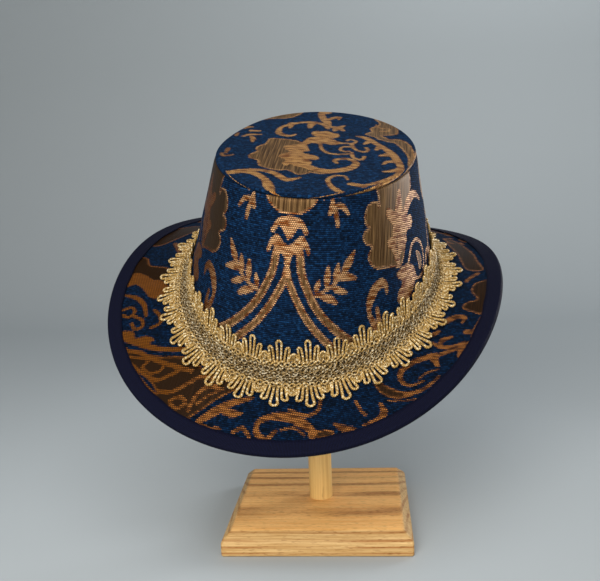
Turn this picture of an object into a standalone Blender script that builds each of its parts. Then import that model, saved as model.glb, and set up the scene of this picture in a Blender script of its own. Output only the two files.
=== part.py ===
# Tall brocade hat with a curled brim, resting on a square wooden stand.
# The origin is the middle of the stand's underside, +Z is up and the hat's front faces -Y.

import bmesh
import bpy
from bisect import bisect_right
from math import atan2, cos, exp, hypot, pi, radians, sin, tan
from mathutils import Euler, Matrix, Vector

# Stand
BASE_SIDE = 0.122
BASE_EDGE_HEIGHT = 0.0098
BASE_CHAMFER_RISE = 0.0061
BASE_CHAMFER_INSET = 0.0064
POST_DIAMETER = 0.016
POST_HEIGHT = 0.247          # from the top of the base to the tip's underside, on the post's axis
POST_SOCKET_DEPTH = 0.010

# How the hat sits on the post: it leans forward and a little to one side
HAT_LEAN = radians(21.7)
HAT_ROLL = radians(5.3)
HAT_TURN = radians(-8.5)
SEAT_TO_SIDE = -0.0114       # from the crown's axis to the post, in the hat's own axes
SEAT_TO_BACK = 0.0231

# Crown, in the hat's own axes: x to the side, y to the back, z along the crown
CROWN_HEIGHT = 0.0936
CROWN_FOOT_WIDTH = 0.1676
CROWN_FOOT_LENGTH = 0.2020
CROWN_TOP_WIDTH = 0.1244
CROWN_TOP_LENGTH = 0.1552
CROWN_WALL = 0.0020
TIP_THICKNESS = 0.0020

# Brim, binding and braid
BRIM_WIDTH = 0.050
BRIM_THICKNESS = 0.0020
BINDING_FACE = 0.0095
BINDING_THICKNESS = 0.0007
BRAID_CORE_WIDTH = 0.0155
BRAID_TALL_LOOP = 0.0125
BRAID_SHORT_LOOP = 0.0085
BRAID_ARCH = 0.0045
BRAID_THICKNESS = 0.0022
BRAID_RISE = 0.0012          # how far the braid's middle lies above the seam
BRAID_FAN_PITCH = 0.0174
BRAID_START = 0.0038         # from the front's middle to the nearest fan, along the seam

SEAM_GAP = 0.0003            # between touching pieces
ROUND_STEPS = 72
POST_STEPS = 32

# One row for each eighth of the way round, counted from the front towards +X:
# the seam's height as a share of CROWN_HEIGHT, and the brim's reach, its edge's rise above the seam
# and the sag of its middle below a straight line, as shares of BRIM_WIDTH
BRIM_ROWS = [
    {"azimuth": 0, "seam": -0.113, "reach": 0.880, "rise": -0.460, "sag": 0.02},
    {"azimuth": 45, "seam": -0.021, "reach": 0.970, "rise": -0.165, "sag": 0.03},
    {"azimuth": 90, "seam": 0.118, "reach": 0.885, "rise": 0.135, "sag": 0.06},
    {"azimuth": 135, "seam": 0.139, "reach": 0.860, "rise": -0.230, "sag": 0.04},
    {"azimuth": 180, "seam": 0.113, "reach": 0.735, "rise": -0.550, "sag": 0.02},
    {"azimuth": 225, "seam": 0.139, "reach": 0.940, "rise": -0.430, "sag": 0.04},
    {"azimuth": 270, "seam": 0.118, "reach": 0.995, "rise": -0.145, "sag": 0.06},
    {"azimuth": 315, "seam": -0.021, "reach": 1.045, "rise": -0.365, "sag": 0.03},
]

# Where the crown's top is pushed in: depth is a share of the half width there
CROWN_FLATS = [
    {"azimuth": 256, "depth": 0.045, "spread": 26},
]

# The tip's rounded rim, from its underside up, as shares of TIP_THICKNESS
TIP_RIM = [
    {"inset": 0.15, "height": 0.00},
    {"inset": 0.00, "height": 0.35},
    {"inset": 0.15, "height": 0.75},
    {"inset": 0.60, "height": 1.00},
]

# One fan of cord loops and the arch beside it: place is a share of the fan's pitch,
# and the loop that reaches farthest there is named
BRAID_FAN = [
    {"place": 0.00, "reach": "arch"},
    {"place": 0.20, "reach": "arch"},
    {"place": 0.28, "reach": "short"},
    {"place": 0.42, "reach": "tall"},
    {"place": 0.58, "reach": "tall"},
    {"place": 0.72, "reach": "short"},
    {"place": 0.80, "reach": "arch"},
]
LOOP_LENGTHS = {"arch": BRAID_ARCH, "short": BRAID_SHORT_LOOP, "tall": BRAID_TALL_LOOP}

BASE_HEIGHT = BASE_EDGE_HEIGHT + BASE_CHAMFER_RISE


def clear_scene():
    for item in list(bpy.data.objects):
        bpy.data.objects.remove(item)


def new_collection(name):
    group = bpy.data.collections.new(name)
    bpy.context.scene.collection.children.link(group)
    return group


def plain_material(name, color, roughness, metallic=0.0):
    material = bpy.data.materials.new(name)
    material.use_nodes = True
    shader = material.node_tree.nodes["Principled BSDF"]
    shader.inputs["Base Color"].default_value = (*color, 1.0)
    shader.inputs["Roughness"].default_value = roughness
    shader.inputs["Metallic"].default_value = metallic
    return material


def add_object(name, mesh, group, material, parent=None):
    item = bpy.data.objects.new(name, mesh)
    group.objects.link(item)
    item.data.materials.append(material)
    item.parent = parent
    return item


def mesh_from(name, builder):
    shape = bmesh.new()
    builder(shape)
    bmesh.ops.recalc_face_normals(shape, faces=shape.faces[:])
    mesh = bpy.data.meshes.new(name)
    shape.to_mesh(mesh)
    shape.free()
    mesh.shade_smooth()
    mesh.set_sharp_from_angle(angle=radians(35))
    return mesh


def join_rings(shape, rings, closed):
    # Rings with the same number of points, each joined to the next; closed joins the last to the first
    loops = [[shape.verts.new(point) for point in ring] for ring in rings]
    pairs = list(zip(loops, loops[1:]))
    if closed:
        pairs.append((loops[-1], loops[0]))
    for low, high in pairs:
        for i in range(len(low)):
            j = (i + 1) % len(low)
            shape.faces.new((low[i], low[j], high[j], high[i]))
    return loops


def turns(steps):
    return [2 * pi * i / steps for i in range(steps)]


def around(column, azimuth):
    # A smooth periodic curve through the brim's rows
    count = len(BRIM_ROWS)
    total = 0.0
    for row in BRIM_ROWS:
        turn = azimuth - radians(row["azimuth"])
        if abs(sin(turn / 2)) < 1e-9:
            weight = 1.0
        else:
            weight = sin(count * turn / 2) / (count * tan(turn / 2))
        total += row[column] * weight
    return total


def outward(azimuth):
    across = sin(azimuth) / CROWN_FOOT_WIDTH
    along = -cos(azimuth) / CROWN_FOOT_LENGTH
    return Vector((across, along, 0.0)).normalized()


def crown_point(azimuth, height, inset=0.0):
    # A point on the crown's outer face, or inset from it
    share = height / CROWN_HEIGHT
    half_width = (CROWN_FOOT_WIDTH + (CROWN_TOP_WIDTH - CROWN_FOOT_WIDTH) * share) / 2
    half_length = (CROWN_FOOT_LENGTH + (CROWN_TOP_LENGTH - CROWN_FOOT_LENGTH) * share) / 2
    kept = 1.0
    for flat in CROWN_FLATS:
        turn = azimuth - radians(flat["azimuth"])
        turn = atan2(sin(turn), cos(turn)) / radians(flat["spread"])
        kept -= flat["depth"] * exp(-turn * turn) * max(share, 0.0) ** 2
    rim = Vector((half_width * kept * sin(azimuth), -half_length * kept * cos(azimuth), height))
    return rim - outward(azimuth) * inset


def seam_height(azimuth):
    return around("seam", azimuth) * CROWN_HEIGHT


def section_point(azimuth, reach, rise):
    # A point in the upright section through the seam: reach goes outward from the seam, rise goes up
    return crown_point(azimuth, seam_height(azimuth)) + outward(azimuth) * reach + Vector((0, 0, rise))


def wall_reach(azimuth, rise):
    # How far the crown's outer face lies beyond the seam at this rise
    seam = seam_height(azimuth)
    return (crown_point(azimuth, seam + rise) - crown_point(azimuth, seam)).dot(outward(azimuth))


def brim_section(azimuth, share, offset):
    # The brim's upper face at this share of its width, offset along the face's normal
    reach = around("reach", azimuth) * BRIM_WIDTH
    rise = around("rise", azimuth) * BRIM_WIDTH
    sag = 4 * around("sag", azimuth) * BRIM_WIDTH
    slope = rise - sag * (1 - 2 * share)
    length = hypot(reach, slope)
    across = reach * share - offset * slope / length
    up = rise * share - sag * share * (1 - share) + offset * reach / length
    return across, up


def brim_length(azimuth):
    return hypot(around("reach", azimuth), around("rise", azimuth)) * BRIM_WIDTH


def from_edge(azimuth, distance):
    return 1 - distance / brim_length(azimuth)


def brim_inner(azimuth, offset):
    # Where the brim's face, carried inward, meets a line that stands SEAM_GAP clear of the crown's wall
    across, up = brim_section(azimuth, 0.0, offset)
    next_across, next_up = brim_section(azimuth, 0.05, offset)
    slope = (next_up - up) / (next_across - across)
    taper = wall_reach(azimuth, BRIM_THICKNESS) / BRIM_THICKNESS
    level = up - slope * across
    reach = (SEAM_GAP + taper * level) / (1 - taper * slope)
    return reach, level + slope * reach


def crown_foot(azimuth):
    # The crown's cloth ends level with the brim's underside
    return seam_height(azimuth) + brim_inner(azimuth, -BRIM_THICKNESS)[1]


def build_crown_side(shape):
    top = CROWN_HEIGHT - TIP_THICKNESS - SEAM_GAP
    rings = []
    for inset, shares in ((0.0, (0.0, 0.25, 0.5, 0.75, 1.0)), (CROWN_WALL, (1.0, 0.5, 0.0))):
        for share in shares:
            ring = []
            for azimuth in turns(ROUND_STEPS):
                foot = crown_foot(azimuth)
                ring.append(crown_point(azimuth, foot + (top - foot) * share, inset))
            rings.append(ring)
    join_rings(shape, rings, closed=True)


def build_crown_tip(shape):
    underside = CROWN_HEIGHT - TIP_THICKNESS
    rings = []
    for row in TIP_RIM:
        inset = row["inset"] * TIP_THICKNESS
        height = underside + row["height"] * TIP_THICKNESS
        rim = [crown_point(azimuth, CROWN_HEIGHT, inset) for azimuth in turns(ROUND_STEPS)]
        rings.append([Vector((point.x, point.y, height)) for point in rim])
    loops = join_rings(shape, rings, closed=False)
    shape.faces.new(loops[0])
    shape.faces.new(loops[-1])


def build_brim(shape):
    shares = (0.25, 0.5, 0.75)
    edge_cut = BINDING_THICKNESS + SEAM_GAP
    rings = []
    for offset, order in ((0.0, shares), (-BRIM_THICKNESS, shares[::-1])):
        inner = [section_point(azimuth, *brim_inner(azimuth, offset)) for azimuth in turns(ROUND_STEPS)]
        edge = [section_point(azimuth, *brim_section(azimuth, from_edge(azimuth, edge_cut), offset))
                for azimuth in turns(ROUND_STEPS)]
        between = [[section_point(azimuth, *brim_section(azimuth, share, offset))
                    for azimuth in turns(ROUND_STEPS)] for share in order]
        rings += [inner, *between, edge] if offset == 0.0 else [edge, *between, inner]
    join_rings(shape, rings, closed=True)


def binding_rows():
    # The folded tape's section: distance from the brim's edge and offset from the brim's upper face
    near = SEAM_GAP
    far = SEAM_GAP + BINDING_THICKNESS
    below = -BRIM_THICKNESS
    inside_edge = BINDING_THICKNESS
    return [
        {"distance": BINDING_FACE, "offset": near},
        {"distance": BINDING_FACE, "offset": far},
        {"distance": BINDING_FACE / 2, "offset": far},
        {"distance": far, "offset": far},
        {"distance": inside_edge / 2, "offset": far / 2},
        {"distance": 0.0, "offset": below / 2},
        {"distance": inside_edge / 2, "offset": below - far / 2},
        {"distance": far, "offset": below - far},
        {"distance": BINDING_FACE / 2, "offset": below - far},
        {"distance": BINDING_FACE, "offset": below - far},
        {"distance": BINDING_FACE, "offset": below - near},
        {"distance": inside_edge, "offset": below - near},
        {"distance": inside_edge, "offset": near},
    ]


def build_binding(shape):
    rings = []
    for row in binding_rows():
        ring = []
        for azimuth in turns(ROUND_STEPS):
            share = from_edge(azimuth, row["distance"])
            ring.append(section_point(azimuth, *brim_section(azimuth, share, row["offset"])))
        rings.append(ring)
    join_rings(shape, rings, closed=True)


def braid_point(azimuth, climb, standoff):
    # Above the seam the braid lies on the crown, below it on the brim
    if climb > 0:
        wall = wall_reach(azimuth, climb)
        length = hypot(climb, wall)
        upright = climb / length
        lean = -wall / length
        return section_point(azimuth, (wall + standoff) * upright, climb * upright + standoff * lean)
    return section_point(azimuth, *brim_section(azimuth, -climb / brim_length(azimuth), standoff))


def seam_lengths(steps):
    # The way round the seam up to each step
    angles = turns(steps) + [2 * pi]
    lengths = [0.0]
    for start, end in zip(angles, angles[1:]):
        run = crown_point(end, seam_height(end)) - crown_point(start, seam_height(start))
        lengths.append(lengths[-1] + run.length)
    return angles, lengths


def braid_marks():
    # Fans are spaced evenly by length round the seam: each mark is an azimuth and its loop's length
    angles, lengths = seam_lengths(ROUND_STEPS * 4)
    whole = lengths[-1]
    fans = max(round(whole / BRAID_FAN_PITCH), 3)
    marks = []
    for fan in range(fans):
        for row in BRAID_FAN:
            place = (fan + row["place"] - 0.5) / fans * whole + BRAID_START
            place %= whole
            step = bisect_right(lengths, place) - 1
            share = (place - lengths[step]) / (lengths[step + 1] - lengths[step])
            azimuth = angles[step] + (angles[step + 1] - angles[step]) * share
            marks.append((azimuth, LOOP_LENGTHS[row["reach"]]))
    return marks


def build_braid(shape):
    half = BRAID_CORE_WIDTH / 2
    fold = BRAID_CORE_WIDTH / 4
    marks = braid_marks()
    near = SEAM_GAP
    far = SEAM_GAP + BRAID_THICKNESS
    edge = SEAM_GAP + BRAID_THICKNESS * 0.7
    rings = [
        [braid_point(azimuth, BRAID_RISE + half + loop, near) for azimuth, loop in marks],
        [braid_point(azimuth, fold, near) for azimuth, loop in marks],
        [braid_point(azimuth, -fold, near) for azimuth, loop in marks],
        [braid_point(azimuth, BRAID_RISE - half - loop, near) for azimuth, loop in marks],
        [braid_point(azimuth, BRAID_RISE - half - loop, edge) for azimuth, loop in marks],
        [braid_point(azimuth, -fold, far) for azimuth, loop in marks],
        [braid_point(azimuth, fold, far) for azimuth, loop in marks],
        [braid_point(azimuth, BRAID_RISE + half + loop, edge) for azimuth, loop in marks],
    ]
    join_rings(shape, rings, closed=True)


def build_base(shape):
    bmesh.ops.create_cube(shape, size=1.0)
    scale = Matrix.Diagonal((BASE_SIDE, BASE_SIDE, BASE_EDGE_HEIGHT, 1.0))
    shift = Matrix.Translation((0, 0, BASE_EDGE_HEIGHT / 2))
    bmesh.ops.transform(shape, matrix=shift @ scale, verts=shape.verts[:])
    top = [face for face in shape.faces if face.normal.z > 0.5]
    raised = bmesh.ops.extrude_face_region(shape, geom=top)
    corners = [item for item in raised["geom"] if isinstance(item, bmesh.types.BMVert)]
    bmesh.ops.delete(shape, geom=top, context="FACES_ONLY")
    kept = 1 - 2 * BASE_CHAMFER_INSET / BASE_SIDE
    for corner in corners:
        corner.co = Vector((corner.co.x * kept, corner.co.y * kept, BASE_HEIGHT))


def add_base(group, cutters, material):
    base = add_object("stand_base", mesh_from("stand_base", build_base), group, material)
    bpy.ops.mesh.primitive_cylinder_add(
        vertices=POST_STEPS,
        radius=POST_DIAMETER / 2 + SEAM_GAP,
        depth=2 * POST_SOCKET_DEPTH,
        location=(0, 0, BASE_HEIGHT),
    )
    socket = bpy.context.object
    socket.name = "post_socket_cutter"
    socket.hide_render = True
    socket.display_type = "WIRE"
    for owner in list(socket.users_collection):
        owner.objects.unlink(socket)
    cutters.objects.link(socket)
    cut = base.modifiers.new("post socket", "BOOLEAN")
    cut.operation = "DIFFERENCE"
    cut.solver = "EXACT"
    cut.object = socket
    return base


def hat_turn():
    return Euler((HAT_LEAN, HAT_ROLL, HAT_TURN), "ZXY")


def add_post(group, material):
    # The post's top is cut on the slant so that the tip's underside lies flat on it
    bottom = BASE_HEIGHT - POST_SOCKET_DEPTH + SEAM_GAP
    top = BASE_HEIGHT + POST_HEIGHT - SEAM_GAP
    slant = hat_turn().to_matrix() @ Vector((0, 0, 1))

    def build_post(shape):
        bmesh.ops.create_cone(
            shape,
            cap_ends=True,
            segments=POST_STEPS,
            radius1=POST_DIAMETER / 2,
            radius2=POST_DIAMETER / 2,
            depth=top - bottom,
            matrix=Matrix.Translation((0, 0, (top + bottom) / 2)),
        )
        for corner in shape.verts:
            if corner.co.z > (top + bottom) / 2:
                corner.co.z = top - (corner.co.x * slant.x + corner.co.y * slant.y) / slant.z

    return add_object("stand_post", mesh_from("stand_post", build_post), group, material)


def add_hat_seat(group):
    # The hat's own axes: the seat on the tip's underside lies over the post
    seat = bpy.data.objects.new("hat_seat", None)
    group.objects.link(seat)
    turn = hat_turn()
    held = Vector((SEAT_TO_SIDE, SEAT_TO_BACK, CROWN_HEIGHT - TIP_THICKNESS))
    seat.rotation_mode = "ZXY"
    seat.rotation_euler = turn
    seat.location = Vector((0, 0, BASE_HEIGHT + POST_HEIGHT)) - turn.to_matrix() @ held
    return seat


def main():
    clear_scene()
    group = new_collection("tall_hat_on_stand")
    cutters = new_collection("cutters")
    oak = plain_material("oak", (0.56, 0.35, 0.15), 0.45)
    birch = plain_material("birch", (0.60, 0.42, 0.20), 0.55)
    brocade = plain_material("brocade", (0.02, 0.06, 0.16), 0.85)
    grosgrain = plain_material("grosgrain", (0.008, 0.008, 0.03), 0.7)
    gimp = plain_material("gold_gimp", (0.55, 0.38, 0.12), 0.4, 0.6)

    add_base(group, cutters, oak)
    add_post(group, birch)
    seat = add_hat_seat(group)
    for name, builder, material in (
        ("crown_side", build_crown_side, brocade),
        ("crown_tip", build_crown_tip, brocade),
        ("brim", build_brim, brocade),
        ("brim_binding", build_binding, grosgrain),
        ("braid_band", build_braid, gimp),
    ):
        add_object(name, mesh_from(name, builder), group, material, seat)


main()
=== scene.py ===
from math import cos, floor, pi, radians, sin

import bmesh
import bpy
import numpy as np
from mathutils import Euler, Matrix, Vector, noise


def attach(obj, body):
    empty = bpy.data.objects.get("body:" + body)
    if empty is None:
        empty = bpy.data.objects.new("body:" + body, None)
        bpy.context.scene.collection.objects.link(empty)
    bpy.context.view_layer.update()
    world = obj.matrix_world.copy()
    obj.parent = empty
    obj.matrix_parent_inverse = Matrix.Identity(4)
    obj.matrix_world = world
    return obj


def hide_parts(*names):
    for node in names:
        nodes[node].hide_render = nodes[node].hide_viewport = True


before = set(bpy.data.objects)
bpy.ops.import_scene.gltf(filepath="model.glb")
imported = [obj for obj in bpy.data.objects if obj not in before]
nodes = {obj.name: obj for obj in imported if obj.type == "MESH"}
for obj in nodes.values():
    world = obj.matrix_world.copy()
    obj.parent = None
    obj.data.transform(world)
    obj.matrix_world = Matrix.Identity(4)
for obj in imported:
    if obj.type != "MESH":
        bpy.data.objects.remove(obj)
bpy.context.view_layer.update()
mm = 0.001
print("frame loaded:", ", ".join(sorted(nodes)))


# camera, fitted to the stand's corners and the brim's outline
view = {
    "place": (0.0368, -0.5354, 0.2339),
    "yaw": -4.9,      # degrees, to the left of +Y
    "pitch": 7.7,     # downwards
    "roll": -2.3,
    "lens": 48.0,     # on a 36 mm sensor
}


def addCamera():
    yaw, pitch, roll = (radians(view[key]) for key in ("yaw", "pitch", "roll"))
    forward = Vector((sin(yaw) * cos(pitch), cos(yaw) * cos(pitch), -sin(pitch)))
    level = Vector((cos(yaw), -sin(yaw), 0))
    upright = level.cross(forward)
    across = level * cos(roll) + upright * sin(roll)
    upward = upright * cos(roll) - level * sin(roll)
    data = bpy.data.cameras.new("camera")
    data.lens = view["lens"]
    data.sensor_width = 36
    data.clip_start = 0.01
    item = bpy.data.objects.new("camera", data)
    turned = Matrix((across, upward, -forward)).transposed().to_4x4()
    item.matrix_world = Matrix.Translation(view["place"]) @ turned
    bpy.context.scene.collection.objects.link(item)
    bpy.context.scene.camera = item


addCamera()
bpy.context.scene.view_settings.view_transform = "Standard"
print("camera placed")


# helpers for colours, nodes and pieces
def linear(hexColour):
    shares = [int(hexColour[i:i + 2], 16) / 255 for i in (1, 3, 5)]
    return tuple(s / 12.92 if s <= 0.04045 else ((s + 0.055) / 1.055) ** 2.4 for s in shares) + (1.0,)


def addNode(tree, kind, settings=None, inputs=None):
    # inputs are values, or the nodes and sockets that feed this one
    node = tree.nodes.new("ShaderNode" + kind)
    for key, value in (settings or {}).items():
        setattr(node, key, value)
    for key, value in (inputs or {}).items():
        if isinstance(value, bpy.types.Node):
            value = next(out for out in value.outputs if out.enabled)
        if isinstance(value, bpy.types.NodeSocket):
            tree.links.new(value, node.inputs[key])
        else:
            node.inputs[key].default_value = value
    return node


# settings that many nodes share
times = {"operation": "MULTIPLY"}
timesPlus = {"operation": "MULTIPLY_ADD"}
blend = {"data_type": "RGBA"}
flatNoise = {"noise_dimensions": "2D"}


def newMaterial(name, constants):
    material = bpy.data.materials.new(name)
    material.use_nodes = True
    tree = material.node_tree
    shader = tree.nodes["Principled BSDF"]
    for key, value in constants.items():
        shader.inputs[key].default_value = value
    return material, tree, shader


def finishPiece(name, mesh, material, slot, *replaced):
    item = bpy.data.objects.new(name, mesh)
    bpy.context.scene.collection.objects.link(item)
    mesh.materials.clear()
    mesh.materials.append(material)
    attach(item, "root")
    if replaced:
        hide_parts(*replaced)
    triangles = sum(len(face.vertices) - 2 for face in mesh.polygons)
    print(f"{name}: {triangles} triangles")
    return item


# the hat's own axes: x to the side, y to the back, z along the crown
crown = {
    "height": 0.0936,
    "footWidth": 0.1676,
    "footLength": 0.2020,
    "topWidth": 0.1244,
    "topLength": 0.1552,
    "wall": 0.0020,
    "tipThickness": 0.0020,
    "flatAzimuth": radians(256),   # where the top is pushed in a little
    "flatDepth": 0.045,
    "flatSpread": radians(26),
    "threadStep": 0.0009,          # spacing of the mesh along the cloth
    "seamGap": 0.0003,
}
brim = {
    "width": 0.050,
    "thickness": 0.0020,
    "rows": [
        {"azimuth": 0, "seam": -0.113, "reach": 0.880, "rise": -0.460, "sag": 0.02},
        {"azimuth": 45, "seam": -0.021, "reach": 0.970, "rise": -0.165, "sag": 0.03},
        {"azimuth": 90, "seam": 0.118, "reach": 0.885, "rise": 0.135, "sag": 0.06},
        {"azimuth": 135, "seam": 0.139, "reach": 0.860, "rise": -0.230, "sag": 0.04},
        {"azimuth": 180, "seam": 0.113, "reach": 0.735, "rise": -0.550, "sag": 0.02},
        {"azimuth": 225, "seam": 0.139, "reach": 0.940, "rise": -0.430, "sag": 0.04},
        {"azimuth": 270, "seam": 0.118, "reach": 0.995, "rise": -0.145, "sag": 0.06},
        {"azimuth": 315, "seam": -0.021, "reach": 1.045, "rise": -0.365, "sag": 0.03},
    ],
}
seat = {
    "lean": radians(21.7),
    "roll": radians(5.3),
    "turn": radians(-8.5),
    "toSide": -0.0114,
    "toBack": 0.0231,
}
stand = {
    "side": 0.122,
    "edgeHeight": 0.0098,
    "chamferRise": 0.0061,
    "chamferInset": 0.0064,
    "softEdge": 0.0016,
    "postDiameter": 0.016,
    "postHeight": 0.247,
    "socketDepth": 0.010,
}
standTop = stand["edgeHeight"] + stand["chamferRise"]
hatTurn = Euler((seat["lean"], seat["roll"], seat["turn"]), "ZXY").to_matrix()
heldAt = Vector((seat["toSide"], seat["toBack"], crown["height"] - crown["tipThickness"]))
hatOrigin = Vector((0, 0, standTop + stand["postHeight"])) - hatTurn @ heldAt


def toWorld(points):
    return points @ np.array(hatTurn).T + np.array(hatOrigin)


def around(column, azimuth):
    # a smooth closed curve through the brim's rows
    count = len(brim["rows"])
    total = np.zeros_like(azimuth)
    for row in brim["rows"]:
        turn = azimuth - radians(row["azimuth"])
        onRow = np.abs(np.sin(turn / 2)) < 1e-9
        turn = np.where(onRow, 1.0, turn)
        total += row[column] * np.where(onRow, 1.0, np.sin(count * turn / 2) / (count * np.tan(turn / 2)))
    return total


def outward(azimuth):
    across = np.sin(azimuth) / crown["footWidth"]
    along = -np.cos(azimuth) / crown["footLength"]
    length = np.hypot(across, along)
    return np.stack((across / length, along / length, np.zeros_like(azimuth)), -1)


def crownPoint(azimuth, height, inset=0.0):
    share = height / crown["height"]
    halfWidth = (crown["footWidth"] + (crown["topWidth"] - crown["footWidth"]) * share) / 2
    halfLength = (crown["footLength"] + (crown["topLength"] - crown["footLength"]) * share) / 2
    turn = azimuth - crown["flatAzimuth"]
    turn = np.arctan2(np.sin(turn), np.cos(turn)) / crown["flatSpread"]
    kept = 1 - crown["flatDepth"] * np.exp(-turn * turn) * np.maximum(share, 0) ** 2
    rim = np.stack((halfWidth * kept * np.sin(azimuth), -halfLength * kept * np.cos(azimuth),
                    height + 0 * azimuth), -1)
    return rim - outward(azimuth) * (inset + 0 * azimuth)[..., None]


def seamHeight(azimuth):
    return around("seam", azimuth) * crown["height"]


def sectionPoint(azimuth, reach, rise):
    # reach goes outward from the seam between crown and brim, rise goes up
    lifted = np.stack((0 * azimuth, 0 * azimuth, rise + 0 * azimuth), -1)
    moved = outward(azimuth) * (reach + 0 * azimuth)[..., None]
    return crownPoint(azimuth, seamHeight(azimuth)) + moved + lifted


def wallReach(azimuth, rise):
    seam = seamHeight(azimuth)
    return ((crownPoint(azimuth, seam + rise) - crownPoint(azimuth, seam)) * outward(azimuth)).sum(-1)


def brimSection(azimuth, share, offset):
    reach = around("reach", azimuth) * brim["width"]
    rise = around("rise", azimuth) * brim["width"]
    sag = 4 * around("sag", azimuth) * brim["width"]
    slope = rise - sag * (1 - 2 * share)
    length = np.hypot(reach, slope)
    return (reach * share - offset * slope / length,
            rise * share - sag * share * (1 - share) + offset * reach / length)


def brimLength(azimuth):
    return np.hypot(around("reach", azimuth), around("rise", azimuth)) * brim["width"]


def brimInner(azimuth, offset):
    # where the brim's face meets a line that stands clear of the crown's wall
    across, up = brimSection(azimuth, 0.0, offset)
    nextAcross, nextUp = brimSection(azimuth, 0.05, offset)
    slope = (nextUp - up) / (nextAcross - across)
    taper = wallReach(azimuth, brim["thickness"]) / brim["thickness"]
    level = up - slope * across
    reach = (crown["seamGap"] + taper * level) / (1 - taper * slope)
    return reach, level + slope * reach


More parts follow.
